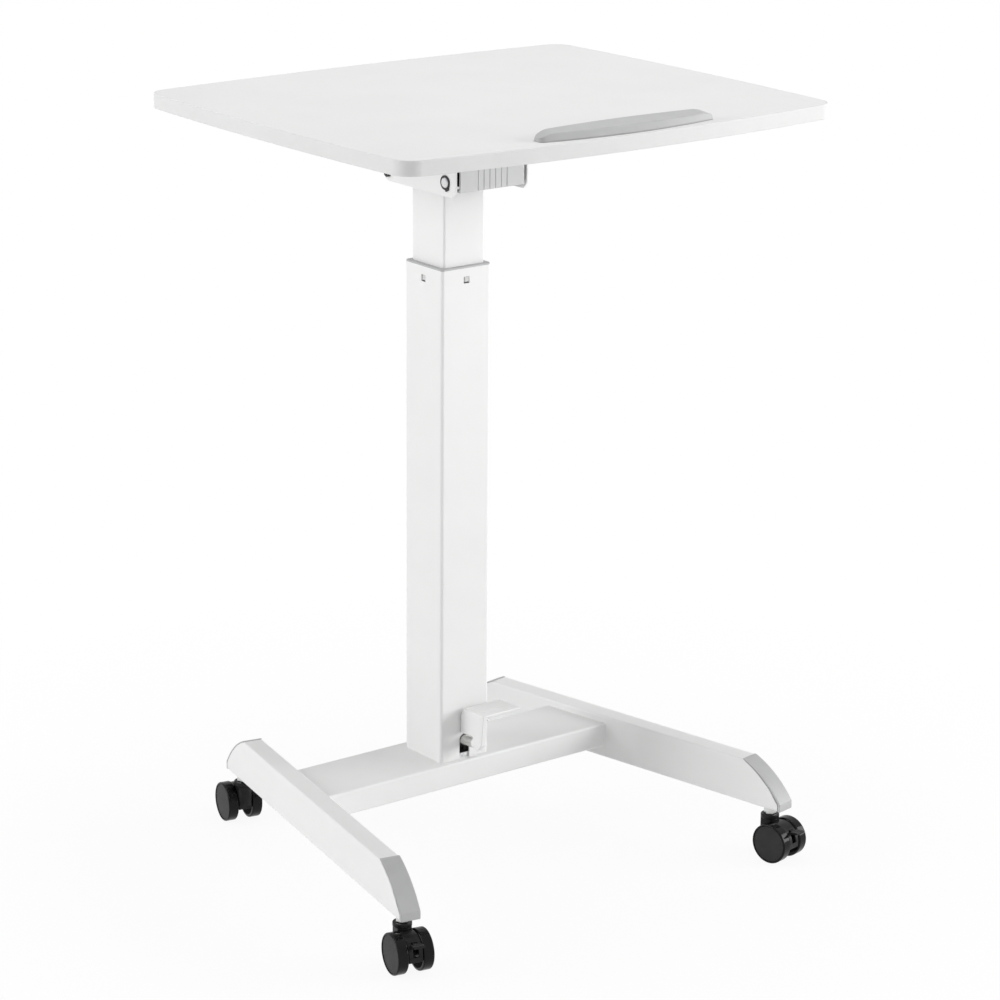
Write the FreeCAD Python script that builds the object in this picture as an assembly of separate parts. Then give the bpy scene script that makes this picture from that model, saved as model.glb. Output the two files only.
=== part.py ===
"""Mobile sit-stand desk with a tilting worktop, a foot pedal and four twin-wheel casters.

Millimetres, +Z up, the user stands at -Y. Every piece is built about the column's axis (x = y = 0,
floor at z = 0) and moved by COLUMN_Y at the end, which puts the origin under the middle of the box.
"""
import FreeCAD, Part
import math
import os

# Worktop
TOP_WIDTH = 604.0
TOP_DEPTH = 525.0
TOP_HEIGHT = 908.6
TOP_THICK = 17.0
TOP_FRONT = 344.0          # front edge, ahead of the column's axis
TOP_CORNER = 25.0
TOP_BOW_FRONT = 19.0       # how far each side bulges at its middle
TOP_BOW_SIDE = 7.3
TOP_BOW_BACK = 10.0
BAND_THICK = 2.0
BAND_ROUND = 1.0

# Book stop, sunk a little into the panel
STOP_LENGTH = 238.0
STOP_DEPTH = 40.0
STOP_HEIGHT = 11.0
STOP_INSET = 7.4           # behind the worktop's front edge
STOP_BOW = 12.0            # how far front and back bulge at their middles
STOP_CREST = 34.0          # crest, behind the stop's own front
STOP_CREASE = 4.5          # upper edge of the front face
STOP_CREASE_HEIGHT = 8.8
STOP_BACK_HEIGHT = 6.0
STOP_END = 6.0             # plan radius of the corners
STOP_FALL = 16.0           # over this length each end slopes down
STOP_END_HEIGHT = 4.5
STOP_SINK = 1.0
STOP_GAP = 0.1
STOP_SCREW_SPACING = 150.0

# Columns
OUTER_X = 70.0
OUTER_Y = 72.0
OUTER_WALL = 2.0
OUTER_CORNER = 4.0
OUTER_LENGTH = 596.0
INNER_X = 58.0
INNER_Y = 62.0
INNER_WALL = 2.0
INNER_CORNER = 3.0
INNER_LENGTH = 555.0
COLLAR_FLANGE = 4.0
COLLAR_SLEEVE = 60.0
SLIDE_GAP = 0.3
SEAT_GAP = 0.1
WINDOW = 8.0
WINDOW_BELOW = 12.0        # window's centre, below the outer column's top
GLIDE_HEIGHT = 30.0

# Cross beam and feet
BEAM_WIDTH = 93.0
BEAM_HEIGHT = 30.0
BEAM_DROP = 9.0            # beam's top, below the feet's
BEAM_Y = 2.5
BEAM_WALL = 2.0
SPIGOT_LENGTH = 45.0
SPIGOT_WALL = 4.0
FOOT_SPLAY = 11.1
FOOT_X = 213.0             # foot's centre line at the column's axis
FOOT_WIDTH = 24.0
FOOT_HEIGHT = 53.5
FOOT_WALL = 2.0
FOOT_FRONT = 312.0
FOOT_REAR = 200.0
FOOT_END_RUN = 54.0
FOOT_END_FLAT = 9.0
FOOT_END_SAG = 5.0
CAP_THICK = 3.5
CAP_PLUG = 10.0
CAP_PLUG_WALL = 2.0

# Column foot, pedal and gas spring
BASE_PLATE = 6.0
BOLT_R = 4.0
BOLT_HEAD_R = 6.5
BOLT_HEAD = 5.0
BOLT_X = 22.0
BOLT_Y = 24.0
SCREW_R = 3.0
SCREW_HEAD_R = 5.0
SCREW_HEAD = 3.5
SLOT_WIDTH = 14.6
SLOT_HEIGHT = 31.0         # above the beam
ROD_R = 6.7                # pedal rod
ROD_RISE = 7.5             # degrees, up towards the front
ROD_UP = 23.0              # rod's axis at the column's front face, above the beam
ROD_FRONT = 69.0
ROD_REAR = 6.0             # inner end, behind the gas spring's axis
PIVOT_Y = -16.0
PIVOT_R = 3.0
RUN_GAP = 0.05             # radial clearance of a running fit
PEDAL_LEFT = -7.0
PEDAL_PLATE = 7.0
PEDAL_WIDTH = 54.0
PEDAL_TREAD = 4.0
PEDAL_UP = 65.5            # tread's rear edge, above the beam
PEDAL_TILT = 2.0
PEDAL_GAP = 1.0            # between the pedal and the column's front face
PEDAL_REACH = 82.5
PEDAL_TREAD_BACK = 42.5
PEDAL_LEAN = 4.0           # plate's lower front corner, behind its upper one
PEDAL_BOSS_R = 7.2
PEDAL_BOSS_BACK = 58.0
PEDAL_BOSS_FRONT = 71.0
PEDAL_REST = 3.0           # plate's lower rear edge, ahead of the boss's rear end
PEDAL_RAKE = 5.0           # run of that edge
ROD_CLEAR = 10.0           # plate's lower edge, above the rod's axis
CHEEK_GAP = 0.3
CHEEK = 3.0
CHEEK_DEPTH = 20.0
BRIDGE_UP = 44.5           # bridge's underside, above the beam
BRIDGE = 6.0
BRIDGE_X = 40.0
BRIDGE_Y = 32.0
GAS_ROD_R = 5.0
PISTON_DOWN = 160.0        # piston's top, below the cylinder's
GAS_ROD_TAIL = 6.0         # below the bridge
PISTON = 10.0
ROD_NUT_R = 8.5
ROD_NUT = 8.0
PIN_R = 2.0
PIN_TIP_GAP = 0.15
PIN_DEPTH = 16.0
PIN_HEADROOM = 6.0
CYLINDER_R = 14.0
CYLINDER_LENGTH = 470.0
CYLINDER_WALL = 2.0
CYLINDER_END = 6.0
NECK_R = 8.0
NECK_LENGTH = 30.0
STUD_R = 4.0
CYLINDER_NUT_R = 7.0
CYLINDER_NUT = 5.0

# Head bracket, tilt shaft and rails
HEAD_PLATE = 3.0
HEAD_SPACE = 14.0          # from the head plate's top to the worktop's underside
HEAD_INSIDE = 49.0         # inner face of a cheek
HEAD_CHEEK = 2.0
HEAD_FRONT = 36.0
HEAD_BACK = 56.0
HEAD_DEPTH = 78.6          # cheeks' lower edge, below the head plate's top
HEAD_CORNER = 12.0
SHAFT_Y = -64.0
SHAFT_DOWN = 62.3          # below the head plate's top
SHAFT_R = 6.0
SHAFT_PROUD = 0.5
EAR = 19.4                 # ahead of and above the shaft
EAR_CUT = 7.0
CIRCLIP_R = 8.5
CIRCLIP = 1.4
CIRCLIP_GAP = 0.3
CIRCLIP_LUG = 2.0
WASHER_R = 13.0
TIE_Y = 46.5
TIE_UP = 10.2              # above the cheeks' lower edge
TIE_R = 4.0
TIE_SCREW_R = 2.0
TIE_HEAD_R = 5.5
TIE_HEAD = 3.0
TIE_SCREW_DEPTH = 12.0
RAIL_GAP = 0.8             # rail's web to the head cheek
RAIL_THICK = 2.5
RAIL_FLANGE = 26.0
RAIL_FRONT = 220.0
RAIL_BACK = 130.0
RAIL_EYE_R = 13.0
RAIL_LEG_SLOPE = 7.0       # how far the leg's rear edge leans back
RAIL_LIFT = 2.5            # web's lower edge above the head plate
RAIL_SCREW_R = 2.0
RAIL_SCREW_HEAD_R = 4.0
RAIL_SCREW_HEAD = 2.5
RAIL_SCREW_DEPTH = 12.0
RAIL_SCREWS = 4
BUMPER_R = 6.0
BUMPER_X = 36.0
BUMPER_Y = 34.0

# Tilt handle
GRIP_LENGTH = 89.5
GRIP_AHEAD = 20.0          # ahead of the tilt shaft
GRIP_DEPTH = 12.0
GRIP_DROP = 10.0           # below the tilt shaft's axis
GRIP_HEIGHT = 29.0
GRIP_WALL = 2.5
GRIP_ROUND = 1.0
RIBS = 6
RIB_PITCH = 8.2
RIB_WIDTH = 1.6
RIB_DEPTH = 1.0
LEVER_THICK = 2.0
LEVER_SIDE = 40.0          # outer face of a lever side
LEVER_EYE_R = 11.0
LEVER_INSET = 3.0          # lever's front plate, in from the grip's inside edges

# Casters
WHEEL_R = 24.0
WHEEL_WIDTH = 12.8
WHEEL_GAP = 18.0
WHEEL_ROUND = 1.6
WHEEL_FACE_R = 21.8
WHEEL_FACE_SINK = 0.8
WHEEL_FACE_WALL = 2.0
AXLE_R = 3.0
HOOD_INSET = 1.5           # hood's rim, inside the wheels'
HOOD_WALL = 2.0
HOOD_SIDE_GAP = 0.4        # between the hood and a wheel
HOOD_HUB_R = 6.5
HOOD_CUT = 13.0            # hood is open below this height
CASTER_TRAIL = 15.0
STEM_FRONT = 289.0         # along the foot, from the beam's line
STEM_REAR = 176.0
NECK_OUT_R = 11.0
NECK_RISE = 5.7            # neck's top, above the wheels
NECK_GAP = 0.5
STEM_R = 5.0
STEM_FLANGE_R = 7.5
STEM_FLANGE = 8.8
STEM_LENGTH = 22.0
STEM_DEPTH = 14.0
NUT_R = 8.5
NUT = 8.0
BRAKE_X = 13.6
BRAKE_WEB = 5.0            # width of the web through the hood's slot
BRAKE_THICK = 3.0
BRAKE_PIVOT_OUT = 8.0      # ahead of the axle
BRAKE_PIVOT_UP = 13.5
BRAKE_PIN_R = 1.5
BRAKE_EYE_R = 3.2
BRAKE_REACH = 31.0
BRAKE_TIP_UP = 16.5
BRAKE_FLAP = 20.5          # flap's inner edge, ahead of the axle
BRAKE_CLEAR = 0.8
BRAKE_SLOT_LOW = 1.0       # lower end of the hood's slot, above the axle

COS = math.cos(math.radians(FOOT_SPLAY))
SIN = math.sin(math.radians(FOOT_SPLAY))
TOP_UNDER = TOP_HEIGHT - TOP_THICK
HOOD_R = WHEEL_R - HOOD_INSET
NECK_TOP = 2 * WHEEL_R + NECK_RISE
FOOT_BOTTOM = NECK_TOP + NECK_GAP + STEM_FLANGE
FOOT_TOP = FOOT_BOTTOM + FOOT_HEIGHT
BEAM_TOP = FOOT_TOP - BEAM_DROP
BEAM_BOTTOM = BEAM_TOP - BEAM_HEIGHT
OUTER_TOP = BEAM_TOP + OUTER_LENGTH
HEAD_TOP = TOP_UNDER - HEAD_SPACE
HEAD_UNDER = HEAD_TOP - HEAD_PLATE
HEAD_BOTTOM = HEAD_TOP - HEAD_DEPTH
HEAD_OUTSIDE = HEAD_INSIDE + HEAD_CHEEK
SHAFT_Z = HEAD_TOP - SHAFT_DOWN
TIE_Z = HEAD_BOTTOM + TIE_UP
RAIL_OUT = HEAD_INSIDE - RAIL_GAP
RAIL_IN = RAIL_OUT - RAIL_THICK
PLATE_TOP = BEAM_TOP + BASE_PLATE
SLOT_TOP = BEAM_TOP + SLOT_HEIGHT
ROD_AT_WALL = BEAM_TOP + ROD_UP
PEDAL_TOP = BEAM_TOP + PEDAL_UP
BRIDGE_BOTTOM = BEAM_TOP + BRIDGE_UP
BRIDGE_TOP = BRIDGE_BOTTOM + BRIDGE
INNER_BOTTOM = HEAD_UNDER - INNER_LENGTH
CYLINDER_TOP = HEAD_UNDER - NECK_LENGTH
CYLINDER_BOTTOM = CYLINDER_TOP - CYLINDER_LENGTH
GAS_ROD_TOP = CYLINDER_TOP - PISTON_DOWN
GRIP_FRONT = SHAFT_Y - GRIP_AHEAD
GRIP_BOTTOM = SHAFT_Z - GRIP_DROP
ROD_TAN = math.tan(math.radians(ROD_RISE))
PIVOT_Z = ROD_AT_WALL + ROD_TAN * (-OUTER_Y / 2 - PIVOT_Y)
WHEEL_OUT = WHEEL_GAP / 2 + WHEEL_WIDTH
HOOD_HALF = WHEEL_GAP / 2 - HOOD_SIDE_GAP
WHEEL_REACH = (WHEEL_R - WHEEL_ROUND) * COS + (WHEEL_OUT - WHEEL_ROUND) * SIN + WHEEL_ROUND
REAR_REACH = max((STEM_REAR + CASTER_TRAIL) * COS + WHEEL_REACH, TOP_DEPTH - TOP_FRONT)
COLUMN_Y = (TOP_FRONT - REAR_REACH) / 2
BIG = 2 * max(TOP_WIDTH, TOP_DEPTH, TOP_HEIGHT)

X = FreeCAD.Vector(1, 0, 0)
Y = FreeCAD.Vector(0, 1, 0)
Z = FreeCAD.Vector(0, 0, 1)


def vec(x, y, z):
    return FreeCAD.Vector(x, y, z)


def box(x0, x1, y0, y1, z0, z1):
    """A block between two corners."""
    return Part.makeBox(x1 - x0, y1 - y0, z1 - z0, vec(x0, y0, z0))


def round_box(x0, x1, y0, y1, z0, z1, radius):
    """A block whose upright edges are rounded."""
    block = box(x0, x1, y0, y1, z0, z1)
    upright = [e for e in block.Edges if abs(e.tangentAt(e.FirstParameter).z) > 0.99]
    return block.makeFillet(radius, upright)


def centred(width, depth, z0, z1, radius):
    """A rounded block centred on the column's axis."""
    return round_box(-width / 2, width / 2, -depth / 2, depth / 2, z0, z1, radius)


def rod(radius, start, along, length):
    return Part.makeCylinder(radius, length, start, along)


def hexagon(radius, start, height):
    """A hexagonal nut blank, radius to the corners."""
    corners = [start + vec(radius * math.cos(k * math.pi / 3), radius * math.sin(k * math.pi / 3), 0)
               for k in range(7)]
    return Part.Face(Part.makePolygon(corners)).extrude(Z * height)


def side_prism(outline, x0, x1):
    """An outline of (y, z) corners carried along X."""
    corners = [vec(x0, y, z) for y, z in outline + outline[:1]]
    return Part.Face(Part.makePolygon(corners)).extrude(X * (x1 - x0))


def mirror_x(shape):
    return shape.mirror(vec(0, 0, 0), X)


def one(shape):
    """The single clean solid of a boolean result."""
    solids = shape.removeSplitter().Solids
    if len(solids) != 1:
        raise ValueError("expected one solid, found %d" % len(solids))
    return solids[0]


def save(name, *shapes):
    """Moves the pieces of one node into the part's frame and writes them."""
    solids = [one(shape) for shape in shapes]
    whole = solids[0] if len(solids) == 1 else Part.makeCompound(solids)
    whole.translate(vec(0, COLUMN_Y, 0))
    if not whole.isValid():
        raise ValueError(name + " is not valid")
    whole.exportStep("parts/" + name + ".step")


def on_foot(shape, side, along=0.0):
    """Places a shape built with its front at -Y on the left (-1) or right (+1) foot's line."""
    placed = shape.copy()
    placed.translate(vec(0, -along, 0))
    placed.rotate(vec(0, 0, 0), Z, side * FOOT_SPLAY)
    placed.translate(vec(side * FOOT_X, 0, 0))
    return placed


def foot_outline(inset, wall):
    """The foot's side view, its curved ends moved in by inset and its top and bottom by wall."""
    low = FOOT_BOTTOM + wall
    high = FOOT_TOP - wall
    knee = FOOT_BOTTOM + FOOT_END_FLAT
    chord = math.hypot(FOOT_END_RUN, FOOT_TOP - knee)
    out_y = FOOT_END_SAG * (FOOT_TOP - knee) / chord
    out_z = FOOT_END_SAG * FOOT_END_RUN / chord

    def end(tip, sign):
        """Points of one end: knee, middle of the arc, top."""
        base = tip * sign - inset * sign
        middle = base - sign * FOOT_END_RUN / 2
        return (vec(0, base, knee),
                vec(0, middle + sign * out_y, (knee + FOOT_TOP) / 2 + out_z),
                vec(0, base - sign * FOOT_END_RUN, FOOT_TOP))

    front = end(FOOT_FRONT, -1)
    rear = end(FOOT_REAR, 1)
    edges = [Part.makeLine(vec(0, rear[0].y, FOOT_BOTTOM), vec(0, front[0].y, FOOT_BOTTOM)),
             Part.makeLine(vec(0, front[0].y, FOOT_BOTTOM), front[0]),
             Part.Arc(*front).toShape(),
             Part.makeLine(front[2], rear[2]),
             Part.Arc(rear[2], rear[1], rear[0]).toShape(),
             Part.makeLine(rear[0], vec(0, rear[0].y, FOOT_BOTTOM))]
    face = Part.Face(Part.Wire(edges))
    half = FOOT_WIDTH / 2 - wall
    whole = face.extrude(X * 2 * half)
    whole.translate(vec(-half, 0, 0))
    return whole.common(box(-half, half, -BIG, BIG, low, high))


def feet():
    """Two splayed foot tubes, open at their curved ends, and the four caps that close them."""
    tube = foot_outline(CAP_THICK, 0).cut(foot_outline(-CAP_THICK, FOOT_WALL))
    for along in (STEM_FRONT, -STEM_REAR):
        tube = tube.cut(rod(STEM_R, vec(0, -along, FOOT_BOTTOM), Z, 2 * FOOT_WALL))
    skin = foot_outline(0, 0).cut(foot_outline(CAP_THICK, 0))
    plug = foot_outline(CAP_THICK, FOOT_WALL + SEAT_GAP).cut(foot_outline(CAP_THICK + CAP_PLUG, FOOT_WALL))
    plug = plug.cut(foot_outline(CAP_THICK, FOOT_WALL + SEAT_GAP + CAP_PLUG_WALL))
    caps = skin.fuse(plug)
    halves = {"front": box(-BIG, BIG, -BIG, 0, 0, BIG), "rear": box(-BIG, BIG, 0, BIG, 0, BIG)}
    for side, name in ((-1, "left"), (1, "right")):
        save(name + "_foot", on_foot(tube, side))
        for end, half in halves.items():
            save(end + "_" + name + "_cap", on_foot(caps.common(half), side))


def between_feet(shape):
    """Trims a shape that runs along X at the inner faces of the two feet."""
    outside = box(-FOOT_WIDTH / 2, BIG, -BIG, BIG, -BIG, BIG)
    trimmed = shape.cut(on_foot(outside, 1))
    return trimmed.cut(mirror_x(on_foot(outside, 1)))


def beam_block(inset, length):
    return box(-length, length, BEAM_Y - BEAM_WIDTH / 2 + inset, BEAM_Y + BEAM_WIDTH / 2 - inset,
               BEAM_BOTTOM + inset, BEAM_TOP - inset)


def cross_beam():
    """The tube between the feet, the spigots it slides over, and the screws that hold it there."""
    seat = BEAM_WALL + SEAT_GAP
    beam = between_feet(beam_block(0, BIG)).cut(beam_block(BEAM_WALL, BIG))
    reach = FOOT_X - (FOOT_WIDTH / 2) / COS - SPIGOT_LENGTH
    spigot = between_feet(beam_block(seat, BIG)).cut(beam_block(seat + SPIGOT_WALL, BIG))
    spigot = spigot.common(box(reach, BIG, -BIG, BIG, 0, BIG))
    screw_x = reach + SPIGOT_LENGTH / 3
    screws = []
    for y in (BEAM_Y - BEAM_WIDTH / 4, BEAM_Y + BEAM_WIDTH / 4):
        shank = rod(SCREW_R, vec(screw_x, y, BEAM_BOTTOM), Z, seat + SPIGOT_WALL)
        head = rod(SCREW_HEAD_R, vec(screw_x, y, BEAM_BOTTOM - SCREW_HEAD), Z, SCREW_HEAD)
        spigot = spigot.cut(shank)
        beam = beam.cut(shank).cut(mirror_x(shank))
        screws += [head.fuse(shank), mirror_x(head.fuse(shank))]
    for bolt in column_bolts():
        beam = beam.cut(bolt)
    save("cross_beam", beam)
    save("beam_spigots", spigot, mirror_x(spigot))
    save("beam_screws", *screws)


def column_bolts():
    """Bolts up through the beam into the column's base plate."""
    bolts = []
    for x in (-BOLT_X, BOLT_X):
        for y in (-BOLT_Y, BOLT_Y):
            shank = rod(BOLT_R, vec(x, y, BEAM_BOTTOM), Z, BEAM_HEIGHT + BASE_PLATE)
            head = rod(BOLT_HEAD_R, vec(x, y, BEAM_BOTTOM - BOLT_HEAD), Z, BOLT_HEAD)
            bolts.append(head.fuse(shank))
    return bolts


def window_blocks(size, reach):
    """Four square bars through the outer column's faces."""
    z = OUTER_TOP - WINDOW_BELOW
    half = size / 2
    along_x = box(-reach[0], reach[0], -half, half, z - half, z + half)
    along_y = box(-half, half, -reach[1], reach[1], z - half, z + half)
    return along_x.fuse(along_y)


def outer_column():
    """The fixed tube with its pedal slot and clip windows, its base plate, and the collar on top."""
    inside = (OUTER_X - 2 * OUTER_WALL, OUTER_Y - 2 * OUTER_WALL)
    corner = OUTER_CORNER - OUTER_WALL
    hollow = centred(inside[0], inside[1], 0, BIG, corner)
    tube = centred(OUTER_X, OUTER_Y, BEAM_TOP, OUTER_TOP, OUTER_CORNER).cut(hollow)
    arch = SLOT_TOP - SLOT_WIDTH / 2
    slot = box(-SLOT_WIDTH / 2, SLOT_WIDTH / 2, -OUTER_Y, 0, 0, arch)
    slot = slot.fuse(rod(SLOT_WIDTH / 2, vec(0, -OUTER_Y, arch), Y, OUTER_Y))
    tube = tube.cut(slot).cut(window_blocks(WINDOW, (OUTER_X, OUTER_Y)))
    save("outer_column", tube)

    plate = centred(inside[0] - 2 * SEAT_GAP, inside[1] - 2 * SEAT_GAP, BEAM_TOP, PLATE_TOP, corner)
    for bolt in column_bolts():
        plate = plate.cut(bolt)
    save("column_base_plate", plate)
    save("column_bolts", *column_bolts())

    sleeve = centred(inside[0] - 2 * SEAT_GAP, inside[1] - 2 * SEAT_GAP,
                     OUTER_TOP - COLLAR_SLEEVE, OUTER_TOP, corner)
    flange = centred(OUTER_X, OUTER_Y, OUTER_TOP, OUTER_TOP + COLLAR_FLANGE, OUTER_CORNER)
    clips = window_blocks(WINDOW - 2 * SEAT_GAP, (OUTER_X / 2, OUTER_Y / 2))
    bore = centred(INNER_X + 2 * SLIDE_GAP, INNER_Y + 2 * SLIDE_GAP, 0, BIG, INNER_CORNER)
    save("guide_collar", sleeve.fuse(flange).fuse(clips).cut(bore))


def inner_column():
    """The sliding tube with the glide round its lower end."""
    hollow = centred(INNER_X - 2 * INNER_WALL, INNER_Y - 2 * INNER_WALL, 0, BIG, INNER_CORNER - INNER_WALL)
    tube = centred(INNER_X, INNER_Y, INNER_BOTTOM, HEAD_UNDER, INNER_CORNER)
    save("inner_column", tube.cut(hollow))
    fit = OUTER_WALL + SLIDE_GAP
    glide = centred(OUTER_X - 2 * fit, OUTER_Y - 2 * fit, INNER_BOTTOM, INNER_BOTTOM + GLIDE_HEIGHT,
                    OUTER_CORNER - OUTER_WALL)
    save("lower_glide", glide.cut(centred(INNER_X, INNER_Y, 0, BIG, INNER_CORNER)))


def rod_height(y):
    """Height of the pedal rod's axis."""
    return ROD_AT_WALL + ROD_TAN * (-OUTER_Y / 2 - y)


def tilted_rod(radius, front, back):
    """A cylinder on the pedal rod's axis between two distances ahead of the column's axis."""
    start = vec(0, -back, rod_height(-back))
    finish = vec(0, -front, rod_height(-front))
    return rod(radius, start, finish - start, (finish - start).Length)


def pedal():
    """The pedal rod on its pivot, the pedal welded to its front end, and the bracket that carries them."""
    inner = ROD_R + CHEEK_GAP
    outer = inner + CHEEK
    shaft = tilted_rod(ROD_R, ROD_FRONT, -ROD_REAR)
    save("pedal_rod", shaft.cut(rod(PIVOT_R + RUN_GAP, vec(-ROD_R, PIVOT_Y, PIVOT_Z), X, 2 * ROD_R)))

    back = OUTER_Y / 2 + PEDAL_GAP
    front_top = PEDAL_TOP + PEDAL_TILT
    chamfer = PEDAL_TREAD_BACK - back
    toe = PEDAL_LEAN - PEDAL_REACH
    sole = toe + PEDAL_BOSS_R
    upper = -PEDAL_BOSS_BACK - PEDAL_REST
    lower = upper - PEDAL_RAKE
    side = [(-back, rod_height(-back) + ROD_CLEAR), (-back, PEDAL_TOP - 2 * chamfer),
            (-PEDAL_TREAD_BACK, PEDAL_TOP), (-PEDAL_REACH, front_top), (toe, rod_height(toe)),
            (sole, rod_height(sole) - PEDAL_BOSS_R), (lower, rod_height(lower) - PEDAL_BOSS_R),
            (upper, rod_height(upper) + ROD_CLEAR)]
    plate = side_prism(side, PEDAL_LEFT, PEDAL_LEFT + PEDAL_PLATE)
    tread = side_prism([(-PEDAL_TREAD_BACK, PEDAL_TOP - PEDAL_TREAD), (-PEDAL_TREAD_BACK, PEDAL_TOP),
                        (-PEDAL_REACH, front_top), (-PEDAL_REACH, front_top - PEDAL_TREAD)],
                       PEDAL_LEFT, PEDAL_LEFT + PEDAL_WIDTH)
    boss = tilted_rod(PEDAL_BOSS_R, PEDAL_BOSS_FRONT, PEDAL_BOSS_BACK)
    socket = tilted_rod(ROD_R, ROD_FRONT, -ROD_REAR)
    save("foot_pedal", plate.fuse(tread).fuse(boss).cut(socket))

    eye_y = (PIVOT_Y - CHEEK_DEPTH / 2, BRIDGE_Y / 2)
    pin = rod(PIVOT_R, vec(-outer, PIVOT_Y, PIVOT_Z), X, 2 * outer)
    cheek = box(inner, outer, eye_y[0], eye_y[1], PLATE_TOP, BRIDGE_BOTTOM)
    bridge = box(-BRIDGE_X / 2, BRIDGE_X / 2, eye_y[0], eye_y[1], BRIDGE_BOTTOM, BRIDGE_TOP)
    bracket = bridge.fuse(cheek).fuse(mirror_x(cheek)).cut(pin)
    save("release_bracket", bracket.cut(rod(GAS_ROD_R, vec(0, 0, BRIDGE_BOTTOM), Z, BRIDGE)))
    save("pedal_pin", pin)


def gas_spring():
    """Rod and piston fixed to the bracket, cylinder hung from the head plate, and the release pin."""
    tip = rod_height(0) + ROD_R / math.cos(math.radians(ROD_RISE)) + PIN_TIP_GAP
    tail = BRIDGE_BOTTOM - GAS_ROD_TAIL
    shank = rod(GAS_ROD_R, vec(0, 0, tail), Z, GAS_ROD_TOP - tail)
    piston = rod(CYLINDER_R - CYLINDER_WALL - RUN_GAP, vec(0, 0, GAS_ROD_TOP - PISTON), Z, PISTON)
    bore = rod(PIN_R + RUN_GAP, vec(0, 0, tail), Z, PIN_DEPTH + PIN_HEADROOM)
    save("gas_rod", shank.fuse(piston).cut(bore))
    save("rod_nut", hexagon(ROD_NUT_R, vec(0, 0, BRIDGE_TOP), ROD_NUT).cut(shank))

    pin = rod(PIN_R, vec(0, 0, tip + PIN_R), Z, tail + PIN_DEPTH - tip - PIN_R)
    save("release_pin", pin.fuse(Part.makeSphere(PIN_R, vec(0, 0, tip + PIN_R))))

    body = rod(CYLINDER_R, vec(0, 0, CYLINDER_BOTTOM), Z, CYLINDER_TOP - CYLINDER_BOTTOM)
    room = rod(CYLINDER_R - CYLINDER_WALL, vec(0, 0, CYLINDER_BOTTOM + CYLINDER_END), Z,
               CYLINDER_TOP - CYLINDER_BOTTOM - 2 * CYLINDER_END)
    mouth = rod(GAS_ROD_R + RUN_GAP, vec(0, 0, CYLINDER_BOTTOM), Z, CYLINDER_END)
    neck = rod(NECK_R, vec(0, 0, CYLINDER_TOP), Z, HEAD_UNDER - CYLINDER_TOP)
    stud = rod(STUD_R, vec(0, 0, HEAD_UNDER), Z, HEAD_PLATE + CYLINDER_NUT)
    save("gas_cylinder", body.cut(room).cut(mouth).fuse(neck).fuse(stud))
    save("cylinder_nut", hexagon(CYLINDER_NUT_R, vec(0, 0, HEAD_TOP), CYLINDER_NUT).cut(stud))


def head():
    """The inverted U on the inner column whose cheeks carry the tilt shaft and the tie."""
    ear = SHAFT_Y - EAR
    outline = [(-HEAD_FRONT, HEAD_TOP), (HEAD_BACK, HEAD_TOP), (HEAD_BACK, HEAD_BOTTOM),
               (ear + EAR_CUT, HEAD_BOTTOM), (ear, HEAD_BOTTOM + EAR_CUT), (ear, SHAFT_Z + EAR)]
    cheek = side_prism(outline, HEAD_INSIDE, HEAD_OUTSIDE)
    lower_rear = [e for e in cheek.Edges if abs(e.CenterOfMass.y - HEAD_BACK) < 0.01
                  and abs(e.CenterOfMass.z - HEAD_BOTTOM) < 0.01]
    cheek = cheek.makeFillet(HEAD_CORNER, lower_rear)
    cheek = cheek.cut(rod(SHAFT_R, vec(0, SHAFT_Y, SHAFT_Z), X, BIG))
    cheek = cheek.cut(rod(TIE_SCREW_R, vec(0, TIE_Y, TIE_Z), X, BIG))
    plate = box(-HEAD_OUTSIDE, HEAD_OUTSIDE, -HEAD_FRONT, HEAD_BACK, HEAD_UNDER, HEAD_TOP)
    plate = plate.cut(rod(STUD_R, vec(0, 0, HEAD_UNDER), Z, HEAD_PLATE))
    save("head_bracket", plate.fuse(cheek).fuse(mirror_x(cheek)))

    half = HEAD_OUTSIDE + CIRCLIP_GAP + CIRCLIP + SHAFT_PROUD
    save("tilt_shaft", rod(SHAFT_R, vec(-half, SHAFT_Y, SHAFT_Z), X, 2 * half))
    ring = rod(CIRCLIP_R, vec(HEAD_OUTSIDE, SHAFT_Y, SHAFT_Z), X, CIRCLIP)
    lug = box(HEAD_OUTSIDE, HEAD_OUTSIDE + CIRCLIP, SHAFT_Y - SHAFT_R, SHAFT_Y,
              SHAFT_Z - CIRCLIP_R - CIRCLIP_LUG, SHAFT_Z)
    ring = ring.fuse(lug).cut(rod(SHAFT_R, vec(0, SHAFT_Y, SHAFT_Z), X, BIG))
    save("shaft_circlips", ring, mirror_x(ring))
    washer = rod(WASHER_R, vec(RAIL_OUT + SEAT_GAP, SHAFT_Y, SHAFT_Z), X, RAIL_GAP - SEAT_GAP)
    washer = washer.cut(rod(SHAFT_R, vec(0, SHAFT_Y, SHAFT_Z), X, BIG))
    save("friction_washers", washer, mirror_x(washer))

    bar = rod(TIE_R, vec(-HEAD_INSIDE, TIE_Y, TIE_Z), X, 2 * HEAD_INSIDE)
    inner_end = HEAD_INSIDE - TIE_SCREW_DEPTH
    shank = rod(TIE_SCREW_R, vec(inner_end, TIE_Y, TIE_Z), X, HEAD_OUTSIDE - inner_end)
    screw = shank.fuse(rod(TIE_HEAD_R, vec(HEAD_OUTSIDE, TIE_Y, TIE_Z), X, TIE_HEAD))
    save("cheek_tie", bar.cut(shank).cut(mirror_x(shank)), screw, mirror_x(screw))

    pad = rod(BUMPER_R, vec(BUMPER_X, BUMPER_Y, HEAD_TOP), Z, HEAD_SPACE - SEAT_GAP)
    save("rest_bumpers", mirror_x(pad), pad)


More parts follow.
